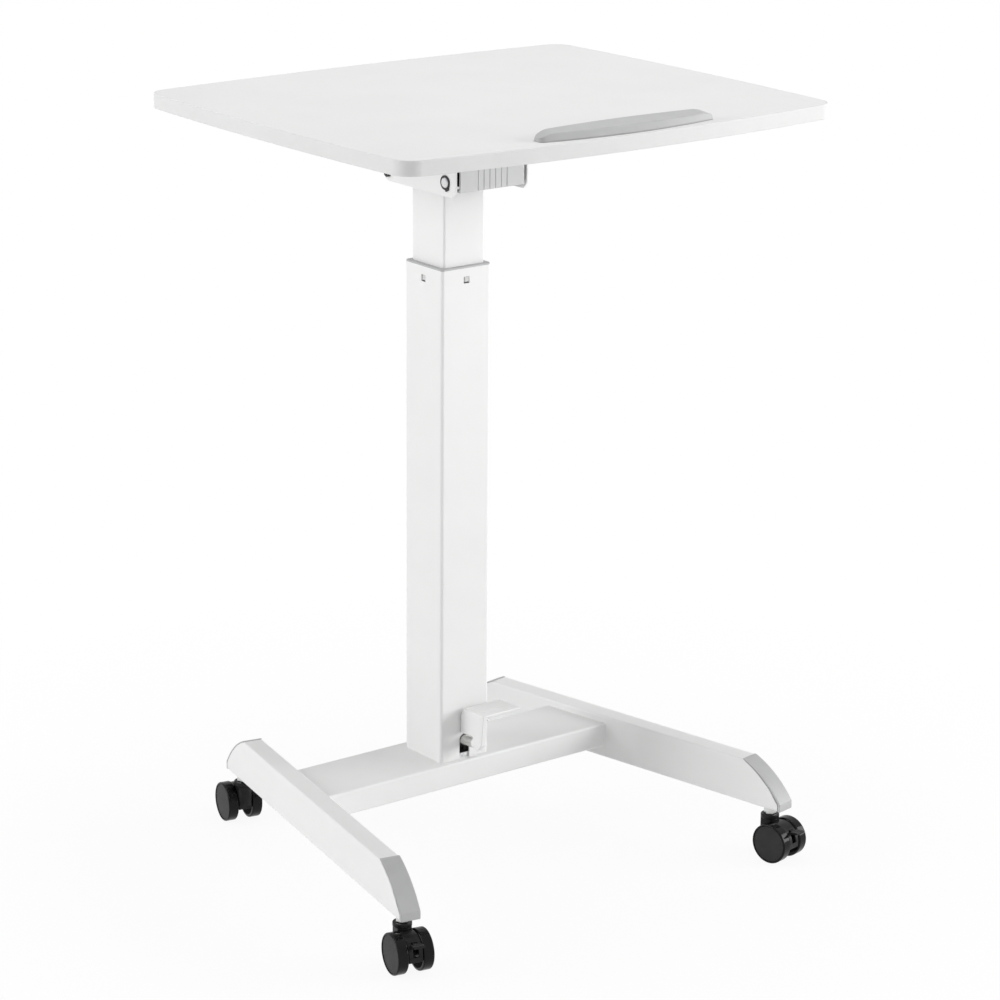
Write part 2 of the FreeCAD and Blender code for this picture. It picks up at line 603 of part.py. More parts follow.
def rail_screw_places():
    """Middle of each rail screw, on the right-hand rail."""
    x = RAIL_OUT + (RAIL_FLANGE - RAIL_THICK) / 2
    step = (RAIL_FRONT + RAIL_BACK) / RAIL_SCREWS
    return [vec(x, -RAIL_FRONT + step * (k + 0.5), TOP_UNDER - RAIL_THICK) for k in range(RAIL_SCREWS)]


def rail_screw(place):
    shank = rod(RAIL_SCREW_R, place, Z, RAIL_THICK + RAIL_SCREW_DEPTH)
    return shank.fuse(rod(RAIL_SCREW_HEAD_R, place - Z * RAIL_SCREW_HEAD, Z, RAIL_SCREW_HEAD))


def rails():
    """Angle rails under the worktop; a leg of each hangs on the tilt shaft."""
    under = TOP_UNDER - RAIL_THICK
    web_low = HEAD_TOP + RAIL_LIFT
    outline = [(-RAIL_FRONT, TOP_UNDER), (-RAIL_FRONT, web_low), (SHAFT_Y - RAIL_EYE_R, web_low),
               (SHAFT_Y - RAIL_EYE_R, SHAFT_Z), (SHAFT_Y + RAIL_EYE_R, SHAFT_Z),
               (SHAFT_Y + RAIL_EYE_R + RAIL_LEG_SLOPE, web_low), (RAIL_BACK, web_low), (RAIL_BACK, TOP_UNDER)]
    web = side_prism(outline, RAIL_IN, RAIL_OUT)
    eye = rod(RAIL_EYE_R, vec(RAIL_IN, SHAFT_Y, SHAFT_Z), X, RAIL_THICK)
    flange = box(RAIL_IN, RAIL_IN + RAIL_FLANGE, -RAIL_FRONT, RAIL_BACK, under, TOP_UNDER)
    rail = web.fuse(eye).fuse(flange).cut(rod(SHAFT_R + RUN_GAP, vec(0, SHAFT_Y, SHAFT_Z), X, BIG))
    screws = [rail_screw(place) for place in rail_screw_places()]
    for screw in screws:
        rail = rail.cut(screw)
    save("right_rail", rail)
    save("left_rail", mirror_x(rail))
    save("rail_screws", *screws, *[mirror_x(screw) for screw in screws])


def stop_plan(grow, z0, z1):
    """The book stop's plan: front and back bulge, the corners are rounded."""
    half = STOP_LENGTH / 2 + grow
    front = STOP_INSET - TOP_FRONT - grow
    back = front + STOP_DEPTH + 2 * grow
    near, far = front + STOP_BOW, back - STOP_BOW
    marks = [(-half, near), (0, front), (half, near), (half, far), (0, back), (-half, far)]
    p = [vec(x, y, z0) for x, y in marks]
    sides = [Part.Arc(p[0], p[1], p[2]).toShape(), Part.makeLine(p[2], p[3]),
             Part.Arc(p[3], p[4], p[5]).toShape(), Part.makeLine(p[5], p[0])]
    block = Part.Face(Part.Wire(sides)).extrude(Z * (z1 - z0))
    corners = [e for e in block.Edges if abs(e.tangentAt(e.FirstParameter).z) > 0.99]
    return block.makeFillet(STOP_END + grow, corners)


def book_stop(base):
    """The plan, with a front face that leans back, a gentle top, a falling back and sloping ends."""
    half = STOP_LENGTH / 2
    front = STOP_INSET - TOP_FRONT
    back = front + STOP_DEPTH
    crest = TOP_HEIGHT + STOP_HEIGHT
    lean = STOP_CREASE / (STOP_CREASE_HEIGHT - STOP_SINK)
    radius = (half ** 2 + STOP_BOW ** 2) / (2 * STOP_BOW)
    low = radius + lean * 2 * STOP_SINK
    high = radius - lean * (STOP_HEIGHT - STOP_SINK)
    cone = Part.makeCone(low, high, crest - base, vec(0, front + radius, base), Z)
    slope = (STOP_HEIGHT - STOP_CREASE_HEIGHT) / (STOP_CREST - STOP_CREASE)
    profile = [(front, base), (front, crest - slope * STOP_CREST), (front + STOP_CREST, crest),
               (back, TOP_HEIGHT + STOP_BACK_HEIGHT), (back, base)]
    roof = [(-half, base), (-half, TOP_HEIGHT + STOP_END_HEIGHT), (STOP_FALL - half, crest),
            (half - STOP_FALL, crest), (half, TOP_HEIGHT + STOP_END_HEIGHT), (half, base)]
    corners = [vec(x, front, z) for x, z in roof + roof[:1]]
    along = Part.Face(Part.makePolygon(corners)).extrude(Y * STOP_DEPTH)
    return stop_plan(0, base, crest).common(cone).common(side_prism(profile, -half, half)).common(along)


def stop_screws():
    """Screws from below into the book stop."""
    y = STOP_INSET - TOP_FRONT + STOP_DEPTH / 2
    screws = []
    for x in (-STOP_SCREW_SPACING / 2, STOP_SCREW_SPACING / 2):
        shank = rod(RAIL_SCREW_R, vec(x, y, TOP_UNDER), Z, TOP_THICK + STOP_BACK_HEIGHT / 2)
        head = rod(RAIL_SCREW_HEAD_R, vec(x, y, TOP_UNDER - RAIL_SCREW_HEAD), Z, RAIL_SCREW_HEAD)
        screws.append(head.fuse(shank))
    return screws


def top_plan(inset):
    """The worktop's block: four sides that bulge a little, with rounded corners, moved in by inset."""
    half = TOP_WIDTH / 2 - inset
    front, back = inset - TOP_FRONT, TOP_DEPTH - TOP_FRONT - inset
    side = half - TOP_BOW_SIDE
    near, far = front + TOP_BOW_FRONT, back - TOP_BOW_BACK
    middle = (front + back) / 2
    marks = [(-side, near), (0, front), (side, near), (half, middle), (side, far), (0, back), (-side, far),
             (-half, middle), (-side, near)]
    points = [vec(x, y, TOP_UNDER) for x, y in marks]
    sides = [Part.Arc(*points[k:k + 3]).toShape() for k in (0, 2, 4, 6)]
    block = Part.Face(Part.Wire(sides)).extrude(Z * TOP_THICK)
    corners = [e for e in block.Edges if abs(e.tangentAt(e.FirstParameter).z) > 0.99]
    return block.makeFillet(TOP_CORNER - inset, corners)


def worktop():
    """The panel, the band round its edge, and the book stop near its front."""
    whole = top_plan(0)
    core = top_plan(BAND_THICK)
    rims = [e for e in whole.Edges if abs(e.CenterOfMass.z - TOP_HEIGHT) < 0.01
            or abs(e.CenterOfMass.z - TOP_UNDER) < 0.01]
    save("edge_band", whole.makeFillet(BAND_ROUND, rims).cut(core))

    base = TOP_HEIGHT - STOP_SINK
    panel = core.cut(stop_plan(STOP_GAP, base, BIG))
    for screw in stop_screws() + [rail_screw(p) for p in rail_screw_places()]:
        panel = panel.cut(screw).cut(mirror_x(screw))
    save("worktop_panel", panel)

    stop = book_stop(base)
    for screw in stop_screws():
        stop = stop.cut(screw)
    save("book_stop", stop)
    save("stop_screws", *stop_screws())


def handle():
    """The ribbed channel grip and the forked lever that carries it on the tilt shaft."""
    half = GRIP_LENGTH / 2
    front, back = GRIP_FRONT, GRIP_FRONT + GRIP_DEPTH
    low, high = GRIP_BOTTOM, GRIP_BOTTOM + GRIP_HEIGHT
    grip = box(-half, half, front, back, low, high)
    long_front = [e for e in grip.Edges if abs(e.CenterOfMass.y - front) < 0.01
                  and abs(e.tangentAt(e.FirstParameter).x) > 0.99]
    grip = grip.makeFillet(GRIP_ROUND, long_front)
    grip = grip.cut(box(-BIG, BIG, front + GRIP_WALL, BIG, low + GRIP_WALL, high - GRIP_WALL))
    for k in range(RIBS):
        x = (k - (RIBS - 1) / 2) * RIB_PITCH
        grip = grip.cut(box(x - RIB_WIDTH / 2, x + RIB_WIDTH / 2, front, front + RIB_DEPTH, low, high))
    save("handle_grip", grip)

    edge = front + GRIP_WALL
    inset = GRIP_WALL + LEVER_INSET
    plate = box(-LEVER_SIDE, LEVER_SIDE, edge, edge + LEVER_THICK, low + inset, high - inset)
    arm = side_prism([(edge, low + inset), (edge, high - inset), (SHAFT_Y, SHAFT_Z + LEVER_EYE_R),
                      (SHAFT_Y, SHAFT_Z - LEVER_EYE_R + LEVER_THICK)], LEVER_SIDE - LEVER_THICK, LEVER_SIDE)
    arm = arm.fuse(rod(LEVER_EYE_R, vec(LEVER_SIDE - LEVER_THICK, SHAFT_Y, SHAFT_Z), X, LEVER_THICK))
    arm = arm.common(box(0, BIG, edge, BIG, low + inset, BIG))
    lever = plate.fuse(arm).fuse(mirror_x(arm))
    save("handle_lever", lever.cut(rod(SHAFT_R + RUN_GAP, vec(-BIG, SHAFT_Y, SHAFT_Z), X, 2 * BIG)))


def caster_wheel():
    """A wheel on the +X side of the axle at the origin: rounded tread, sunk face disc, blind bore."""
    inner = WHEEL_GAP / 2
    wheel = rod(WHEEL_R, vec(inner, 0, 0), X, WHEEL_WIDTH)
    rims = [e for e in wheel.Edges if isinstance(e.Curve, Part.Circle)]
    wheel = wheel.makeFillet(WHEEL_ROUND, rims)
    wheel = wheel.cut(rod(WHEEL_FACE_R, vec(WHEEL_OUT - WHEEL_FACE_SINK, 0, 0), X, WHEEL_FACE_SINK))
    depth = WHEEL_WIDTH - WHEEL_FACE_SINK - WHEEL_FACE_WALL
    return wheel.cut(rod(AXLE_R + RUN_GAP, vec(inner, 0, 0), X, depth))


def brake_angle():
    """Downward slope of the brake lever from its pivot to its tip, in degrees."""
    drop = BRAKE_PIVOT_UP - BRAKE_TIP_UP
    return math.degrees(math.atan2(drop, BRAKE_REACH - BRAKE_PIVOT_OUT))


def brake_lever():
    """The brake's eye, the web out through the hood's slot, and the broad flap that a toe presses."""
    length = math.hypot(BRAKE_REACH - BRAKE_PIVOT_OUT, BRAKE_PIVOT_UP - BRAKE_TIP_UP)
    half = BRAKE_THICK / 2
    web = BRAKE_WEB / 2
    flap = box(-BRAKE_X / 2, BRAKE_X / 2, -length, BRAKE_PIVOT_OUT - BRAKE_FLAP, -half, half)
    lever = flap.fuse(box(-web, web, -length, 0, -half, half))
    lever = lever.fuse(rod(BRAKE_EYE_R, vec(-web, 0, 0), X, BRAKE_WEB))
    lever = lever.cut(rod(BRAKE_PIN_R + RUN_GAP, vec(-BIG, 0, 0), X, 2 * BIG))
    lever.rotate(vec(0, 0, 0), X, brake_angle())
    lever.translate(vec(0, -BRAKE_PIVOT_OUT, BRAKE_PIVOT_UP))
    return lever


def caster_housing(braked):
    """Hood between the wheels, open below, with the hub for the axle and the neck that swivels on the stem.

    The axle runs along X through the origin and the stem stands CASTER_TRAIL behind it, at +Y.
    """
    half = HOOD_HALF
    neck_base = vec(0, CASTER_TRAIL, 0)
    drum = rod(HOOD_R, vec(-half, 0, 0), X, 2 * half)
    neck = rod(NECK_OUT_R, neck_base, Z, NECK_TOP - WHEEL_R)
    over_wheels = WHEEL_R + HOOD_SIDE_GAP
    slim = box(-half, half, -BIG, BIG, -BIG, over_wheels)
    above = box(-BIG, BIG, -BIG, BIG, over_wheels, BIG)
    solid = drum.fuse(neck.common(slim)).fuse(neck.common(above))
    room = rod(HOOD_R - HOOD_WALL, vec(-half + HOOD_WALL, 0, 0), X, 2 * (half - HOOD_WALL))
    hub = rod(HOOD_HUB_R, vec(-half, 0, 0), X, 2 * half)
    stem = rod(STEM_R + RUN_GAP, neck_base + Z * (NECK_TOP - WHEEL_R - STEM_DEPTH), Z, BIG)
    lining = rod(STEM_R + HOOD_WALL, neck_base, Z, NECK_TOP - WHEEL_R)
    housing = solid.cut(room).fuse(hub).fuse(lining.common(slim).common(drum))
    housing = housing.cut(box(-BIG, BIG, -BIG, BIG, -BIG, HOOD_CUT - WHEEL_R))
    housing = housing.cut(rod(AXLE_R, vec(-BIG, 0, 0), X, 2 * BIG)).cut(stem)
    if braked:
        slot = BRAKE_WEB / 2 + BRAKE_CLEAR
        slot_top = BRAKE_TIP_UP + BRAKE_THICK / 2 + BRAKE_CLEAR
        housing = housing.cut(box(-slot, slot, -BIG, -BRAKE_PIVOT_OUT, BRAKE_SLOT_LOW, slot_top))
        pin = rod(BRAKE_PIN_R, vec(-half, -BRAKE_PIVOT_OUT, BRAKE_PIVOT_UP), X, 2 * half)
        housing = housing.fuse(pin)
    return housing


def on_caster(shape, side, end):
    """From the axle's frame to its place under a foot; the rear casters are turned to trail backwards."""
    placed = shape.copy()
    placed.translate(vec(0, -CASTER_TRAIL, WHEEL_R))
    if end == "front":
        return on_foot(placed, side, STEM_FRONT)
    placed.rotate(vec(0, 0, 0), Z, 180)
    return on_foot(placed, side, -STEM_REAR)


def caster_stem(along):
    """A threaded stem with its hexagon flange under the foot, and the nut that holds it inside."""
    foot = vec(0, -along, 0)
    low = NECK_TOP - STEM_DEPTH
    shank = rod(STEM_R, foot + Z * low, Z, FOOT_BOTTOM + STEM_LENGTH - low)
    flange = hexagon(STEM_FLANGE_R, foot + Z * (FOOT_BOTTOM - STEM_FLANGE), STEM_FLANGE)
    nut = hexagon(NUT_R, foot + Z * (FOOT_BOTTOM + FOOT_WALL), NUT)
    return shank.fuse(flange), nut.cut(shank)


def casters():
    """Four casters, the front pair braked, and the stems that hold them to the feet."""
    wheel = caster_wheel()
    axle_half = WHEEL_OUT - WHEEL_FACE_SINK - WHEEL_FACE_WALL - HOOD_SIDE_GAP
    axle = rod(AXLE_R, vec(-axle_half, 0, 0), X, 2 * axle_half)
    stems = []
    nuts = []
    for side, name in ((-1, "left"), (1, "right")):
        for end, along in (("front", STEM_FRONT), ("rear", -STEM_REAR)):
            label = end + "_" + name + "_"
            save(label + "housing", on_caster(caster_housing(end == "front"), side, end))
            save(label + "axle", on_caster(axle, side, end))
            save(label + "wheel_a", on_caster(wheel, side, end))
            save(label + "wheel_b", on_caster(mirror_x(wheel), side, end))
            if end == "front":
                save(label + "brake", on_caster(brake_lever(), side, end))
            stem, nut = caster_stem(along)
            stems.append(on_foot(stem, side))
            nuts.append(on_foot(nut, side))
    save("caster_stems", *stems)
    save("stem_nuts", *nuts)


def main():
    os.makedirs("parts", exist_ok=True)
    feet()
    cross_beam()
    outer_column()
    inner_column()
    pedal()
    gas_spring()
    head()
    rails()
    worktop()
    handle()
    casters()
    print("column axis at y = %.2f" % COLUMN_Y)


main()
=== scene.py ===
"""Looks of the mobile sit-stand desk: smooth skins for its pieces, their finishes, and studio light.

Metres, +Z up, the user stands at -Y. Each shape is worked out as whole numpy arrays of points.
"""
import math

import bpy
import numpy as np
from mathutils import Matrix, Vector


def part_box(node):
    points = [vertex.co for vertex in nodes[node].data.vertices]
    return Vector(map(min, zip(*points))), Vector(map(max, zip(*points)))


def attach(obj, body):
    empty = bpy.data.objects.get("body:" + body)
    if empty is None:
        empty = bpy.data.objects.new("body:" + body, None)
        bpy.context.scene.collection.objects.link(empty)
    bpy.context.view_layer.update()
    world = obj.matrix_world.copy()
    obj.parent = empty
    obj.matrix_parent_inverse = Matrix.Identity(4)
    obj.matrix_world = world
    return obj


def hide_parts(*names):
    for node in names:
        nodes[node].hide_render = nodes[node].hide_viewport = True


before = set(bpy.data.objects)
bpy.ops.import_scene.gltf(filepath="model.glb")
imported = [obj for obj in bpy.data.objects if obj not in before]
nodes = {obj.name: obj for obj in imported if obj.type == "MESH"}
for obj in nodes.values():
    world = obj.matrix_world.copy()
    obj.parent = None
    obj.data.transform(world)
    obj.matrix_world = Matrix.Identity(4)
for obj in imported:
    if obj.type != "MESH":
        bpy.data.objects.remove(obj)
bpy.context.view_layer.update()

# Columns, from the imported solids
OUTER_LOW, OUTER_HIGH = (np.array(corner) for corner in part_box("outer_column"))
INNER_LOW, INNER_HIGH = (np.array(corner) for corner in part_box("inner_column"))
COLUMN_Y = (OUTER_LOW[1] + OUTER_HIGH[1]) / 2
OUTER_CORNER = 0.004
INNER_CORNER = 0.003
TUBE_WALL = 0.002
SLOT_WIDTH = 0.0146
SLOT_TOP = 0.1385
WINDOW = 0.008
WINDOW_BELOW = 0.012
COLLAR_FLANGE = 0.004
COLLAR_COVERED = 0.0018
COLLAR_EASE = 0.0006
COLLAR_GAP = 0.0006
CLIP_HALF = 0.0031
CLIP_ROUND = 0.0006
CLIP_DEEP = 0.0025
CLIP_SINK = 0.0004
CLIP_OFF = 0.0006
CLIP_EASE = 0.0007
SMALL = 1e-6

# Feet and beam
SPLAY = math.radians(11.1)
FOOT_X = 0.213
FOOT_WIDTH = 0.024
FOOT_LOW = 0.063
FOOT_HIGH = 0.1165
FOOT_FRONT = 0.312
FOOT_REAR = 0.200
FOOT_ROUND = 0.0022
END_FLAT = 0.009
END_RUN = 0.054
END_SAG = 0.005
CAP_THICK = 0.0035
CAP_ROUND = 0.0011
CAP_SEAM = 0.0003
BEAM_ROUND = 0.0028

# Worktop and book stop
TOP_LOW, TOP_HIGH = (np.array(corner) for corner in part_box("edge_band"))
TOP_CORNER = 0.025
TOP_BOW_FRONT = 0.019
TOP_BOW_SIDE = 0.0073
TOP_BOW_BACK = 0.010
BAND_THICK = 0.002
BAND_ROUND = 0.0010
STOP_LOW, STOP_HIGH = (np.array(corner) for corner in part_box("book_stop"))
STOP_CREST = 0.034
STOP_CREASE = 0.0045
STOP_CREASE_UP = 0.0098
STOP_LIP = 0.0022
STOP_UNDERCUT = 0.0009
STOP_BACK = 0.007
STOP_BOW = 0.012
STOP_CORNER = 0.006
STOP_FALL = 0.020
STOP_END_SHARE = (0.52, 0.46)
STOP_ROUND = {"foot": 0.0003, "back": 0.0025, "crest": 0.0040, "crease": 0.0026, "undercut": 0.0002}

# Tilt handle and head
GRIP_LOW, GRIP_HIGH = (np.array(corner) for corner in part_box("handle_grip"))
GRIP_WALL = 0.0025
GRIP_ROUND = 0.0014
GRIP_TIGHT = 0.0006
RIBS = 6
RIB_PITCH = 0.0081
RIB_WIDTH = 0.0018
RIB_DEPTH = 0.0010
HEAD_LOW, HEAD_HIGH = (np.array(corner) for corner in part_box("head_bracket"))
HEAD_CHEEK = 0.002
HEAD_PLATE = 0.003
HEAD_FRONT = 0.036
SHAFT_Y = COLUMN_Y - 0.064
SHAFT_Z = 0.8153
SHAFT_R = 0.006
SHAFT_CHAMFER = 0.0009
EAR = 0.0194
EAR_CUT = 0.007
HEAD_CORNER = 0.012
HEAD_ROUNDS = (0.002, 0.006, 0.004, 0.004)
HEAD_TOP_ROUND = 0.0006
HEAD_EASE = 0.0007
CIRCLIP_R = 0.0083
CIRCLIP = 0.0014
CIRCLIP_EASE = 0.0003
CIRCLIP_LUG_R = 0.0021
CIRCLIP_OPEN = math.radians(11)
CIRCLIP_TURN = math.radians(118)
TIE_R = 0.004

# Pedal
PEDAL_LOW, PEDAL_HIGH = (np.array(corner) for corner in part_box("foot_pedal"))
PEDAL_LEFT = -0.007
PEDAL_PLATE = 0.007
PEDAL_TREAD = 0.004
PEDAL_TREAD_BACK = 0.0425
PEDAL_TILT = 0.002
PEDAL_LEAN = 0.004
PEDAL_BOSS_R = 0.0072
PEDAL_BOSS_BACK = 0.058
PEDAL_BOSS_FRONT = 0.071
PEDAL_REST = 0.003
PEDAL_RAKE = 0.005
PEDAL_ROUNDS = (0.002, 0.003, 0.004, 0.0035, 0.004, 0.0018, 0.004, 0.003)
PEDAL_EASE = 0.0009
TREAD_EASE = 0.0012
BOSS_RIM = 0.0006
BOSS_BORE = 0.001
ROD_CLEAR = 0.010
ROD_R = 0.0067
ROD_RISE = math.radians(7.5)
ROD_AT_WALL = 0.1305
ROD_REACH = 0.069
ROD_CHAMFER = 0.0008
TREAD_SINK = 0.00005
GROOVES = 3
GROOVE_START = 0.006
GROOVE_PITCH = 0.0055
GROOVE_WIDTH = 0.0012
GROOVE_DEPTH = 0.0006

# Casters
WHEEL_R = 0.024
WHEEL_WIDTH = 0.0128
WHEEL_GAP = 0.018
WHEEL_ROUND = 0.0017
WHEEL_FACE_R = 0.0217
WHEEL_FACE_SINK = 0.0008
WHEEL_LIP = 0.0004
WHEEL_DOME = 0.6
WHEEL_EYE = 0.03
WHEEL_BORE = 0.004
HOOD_R = 0.0225
HOOD_HALF = 0.0086
HOOD_WALL = 0.002
HOOD_CUT = 0.0185
HOOD_BAND_ROUND = 0.0009
HOOD_BAND_SHARE = 0.45
HOOD_SIDE = 0.0015
HOOD_SIDE_SINK = 0.0004
HOOD_SIDE_BELOW = 0.0008
HOOD_EASE = 0.0004
HUB_R = 0.0065
HUB_EASE = 0.0008
NECK_R = 0.011
NECK_TOP = 0.0537
NECK_FOOT = 0.0244
NECK_SINK = 0.0002
NECK_RIM = 0.0011
NECK_BORE = 0.0056
NECK_BORE_DEEP = 0.004
NECK_EYE = 0.001
TRAIL = 0.015
STEM_FRONT = 0.289
STEM_REAR = 0.176
STEM_R = 0.005
STEM_DEPTH = 0.014
STEM_FLANGE_R = 0.0075
STEM_FLANGE = 0.0088
STEM_EASE = 0.0005
BRAKE_HALF = 0.0068
BRAKE_WEB = 0.0025
BRAKE_EYE_R = 0.0032
BRAKE_THICK = 0.003
BRAKE_ROUND = 0.0006
BRAKE_TIP_ROUND = 0.0012
BRAKE_PIVOT_OUT = 0.008
BRAKE_PIVOT_UP = 0.0135
BRAKE_REACH = 0.031
BRAKE_TIP_UP = 0.0165
BRAKE_FLAP = 0.0205
BRAKE_SLOT_HALF = 0.0033
BRAKE_SLOT_LOW = 0.001
BRAKE_SLOT_HIGH = 0.0163
BRAKE_RIBS = 3
BRAKE_RIB_R = 0.0006
BRAKE_RIB_PITCH = 0.0021

# Screw heads that show from below: body, columns, rows, radius and height
SCREW_HEADS = {"column_bolt": ("base", 2, 2, 0.0065, 0.005), "beam_screw": ("base", 2, 2, 0.005, 0.0035),
               "rail_screw": ("worktop", 2, 4, 0.004, 0.0025), "stop_screw": ("worktop", 2, 1, 0.004, 0.0025)}
SOCKET_RIM = 0.18
SOCKET_R = 0.5
SOCKET_MOUTH = 1.15
SOCKET_LIP = 0.93
SOCKET_FLOOR = 0.35

# Finishes: blacks, and the slots of the solids that show
JET_BLACK = (0.003, 0.003, 0.003)
NEAR_BLACK = (0.006, 0.006, 0.006)
SOFT_BLACK = (0.020, 0.020, 0.021)
DARK_GREY = (0.027, 0.027, 0.028)
NODE_SLOTS = {"white_laminate": ["worktop_panel"], "pale_plastic": ["lower_glide"],
              "bumper_rubber": ["rest_bumpers"],
              # The rails are black partly as underside rails often are and partly as painted shade: they
              # darken the gap beside the grip's left end.
              "black_steel": ["gas_cylinder", "handle_lever", "left_rail", "right_rail"],
              "zinc_steel": ["gas_rod", "rod_nut", "pedal_pin", "stem_nuts", "cylinder_nut",
                             "friction_washers", "release_pin", "release_bracket", "column_base_plate",
                             "front_left_axle", "front_right_axle", "rear_left_axle", "rear_right_axle"]}

# Studio: strengths, the floor's shadow, and lamps as name, place, aim, size and power
AMBIENT = 0.44
FLOOR_HALF = 30.0
FLOOR_GLOW = 0.92
SHADOW_NEAR = 0.45
SHADOW_FAR = 1.0
LAMPS = [("left_softbox", (-4.15, 1.9, 1.7), (0, 0, 0.4), (2.8, 2.4), 98),
         ("right_softbox", (3.9, -3.1, 1.6), (0, 0, 0.4), (3.4, 2.6), 178),
         ("top_softbox", (0.1, 0.0, 2.7), (0, 0, 0.5), (1.0, 1.0), 14)]

# Camera of the photograph, about the desk's own frame
VIEW_AZIMUTH = math.radians(37.305)
VIEW_PITCH = math.radians(16.793)
VIEW_ROLL = math.radians(0.443)
VIEW_PLACE = (-2.3067, -3.06508, 1.5932)
LENS = 124.43
SENSOR = 36.0


def rounded_rectangle(width, depth, radius, steps=8):
    """Counter-clockwise outline: each corner's centre plus radius times cosine and sine of a quarter turn."""
    turn = np.arange(4)[:, None] * np.pi / 2 + np.linspace(0, np.pi / 2, steps + 1)
    centre_x = (width / 2 - radius) * np.array([1, -1, -1, 1])[:, None]
    centre_y = (depth / 2 - radius) * np.array([1, 1, -1, -1])[:, None]
    outline = np.stack([centre_x + radius * np.cos(turn), centre_y + radius * np.sin(turn)], -1)
    return outline.reshape(-1, 2)


def circle(radius, count=48):
    """Counter-clockwise circle: radius times cosine and sine."""
    turn = np.arange(count) * 2 * np.pi / count
    return radius * np.stack([np.cos(turn), np.sin(turn)], -1)


def hexagon(radius, count=48):
    """A hexagon with as many points as the circle: apothem over the cosine from each side's middle."""
    turn = np.arange(count) * 2 * np.pi / count
    from_middle = np.mod(turn, np.pi / 3) - np.pi / 6
    reach = radius * np.cos(np.pi / 6) / np.cos(from_middle)
    return reach[:, None] * np.stack([np.cos(turn), np.sin(turn)], -1)


def level(outline, height):
    """An (x, y) outline set at one height."""
    return np.column_stack([outline, np.full(len(outline), height)])


def skin(rings, start=True, end=True, loop=False):
    """Quads between neighbouring rings of points; polygons close the first and last ring where asked."""
    rings = np.asarray(rings)
    rows, count = rings.shape[:2]
    index = np.arange(rows * count).reshape(rows, count)
    walk = np.vstack([index, index[:1]]) if loop else index
    beside = np.roll(walk, -1, axis=1)
    faces = np.stack([walk[:-1], beside[:-1], beside[1:], walk[1:]], -1).reshape(-1, 4).tolist()
    if start and not loop:
        faces.append(index[0, ::-1].tolist())
    if end and not loop:
        faces.append(index[-1].tolist())
    return rings.reshape(-1, 3), faces


def prism(outline, along, start, stop):
    """An outline in the plane square to an axis (0 for X, 1 for Y, 2 for Z), carried along that axis."""
    ring = np.insert(np.asarray(outline, float), along, start, axis=1)
    far = np.insert(np.asarray(outline, float), along, stop, axis=1)
    return skin(outward([ring, far], along, outline))


def outward(rings, along, outline):
    """Orders the two ends of a prism so that its faces point out, from the sign of the outline's area."""
    a = np.asarray(outline, float)
    b = np.roll(a, -1, axis=0)
    turns_left = np.sum(a[:, 0] * b[:, 1] - b[:, 0] * a[:, 1]) > 0
    if along == 1:
        turns_left = not turns_left
    return rings if turns_left else [ring[::-1] for ring in rings]


def turned(profile, place, axis, count=48):
    """A lathe shape: each (radius, distance) of the profile makes a circle about an axis through a place."""
    axis = np.asarray(axis, float) / np.linalg.norm(axis)
    side = np.cross(axis, [0.0, 0.0, 1.0])
    if np.linalg.norm(side) < SMALL:
        side = np.array([1.0, 0.0, 0.0])
    side = side / np.linalg.norm(side)
    up = np.cross(axis, side)
    profile = np.asarray(profile, float)
    ring = circle(1.0, count)
    spokes = ring[:, :1] * side + ring[:, 1:] * up
    rings = np.asarray(place) + profile[:, 0, None, None] * spokes + profile[:, 1, None, None] * axis
    return skin(rings)


def quarter(centre, radius, start, steps=5):
    """Points of a quarter circle in a profile, from an angle given in quarter turns, counter-clockwise."""
    turn = (start + np.linspace(0, 1, steps + 1)) * np.pi / 2
    return np.column_stack([centre[0] + radius * np.cos(turn), centre[1] + radius * np.sin(turn)])


def moved(shape, change):
    """A shape whose points went through a function of arrays."""
    points, faces = shape
    return change(points), faces


def mirrored(shape):
    """A shape reflected in X = 0, its faces turned over again."""
    points, faces = shape
    return points * [-1, 1, 1], [face[::-1] for face in faces]


def on_foot(points, side, along=0.0, turn=0.0):
    """Turns points built with their front at -Y, then sets them on the left (-1) or right (+1) foot."""
    points = np.asarray(points)
    cos, sin = math.cos(turn), math.sin(turn)
    spun = points @ np.array([[cos, sin, 0], [-sin, cos, 0], [0, 0, 1]]) - [0, along, 0]
    cos, sin = math.cos(side * SPLAY), math.sin(side * SPLAY)
    splayed = spun @ np.array([[cos, sin, 0], [-sin, cos, 0], [0, 0, 1]])
    return splayed + [side * FOOT_X, COLUMN_Y, 0]


def make(name, shapes, body, stands_for, finish, ease=0.0, crease=40):
    """Joins shapes into one piece, smooth except at creases, and hangs it on its body for CAD nodes."""
    starts = np.cumsum([0] + [len(points) for points, _ in shapes])
    points = np.concatenate([points for points, _ in shapes])
    faces = [[corner + int(start) for corner in face]
             for start, (_, listed) in zip(starts, shapes) for face in listed]
    mesh = bpy.data.meshes.new(name)
    mesh.from_pydata(points.tolist(), [], faces)
    mesh.shade_smooth()
    mesh.set_sharp_from_angle(angle=math.radians(crease))
    mesh.materials.append(finish)
    piece = bpy.data.objects.new(name, mesh)
    bpy.context.scene.collection.objects.link(piece)
    if ease:
        bevel = piece.modifiers.new("eased_edges", "BEVEL")
        bevel.width = ease
        bevel.segments = 3
        bevel.limit_method = "ANGLE"
        bevel.angle_limit = math.radians(crease)
        bevel.harden_normals = True
    flat = piece.modifiers.new("flat_faces", "WEIGHTED_NORMAL")
    flat.keep_sharp = True
    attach(piece, body)
    if stands_for:
        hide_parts(*stands_for)
    return piece


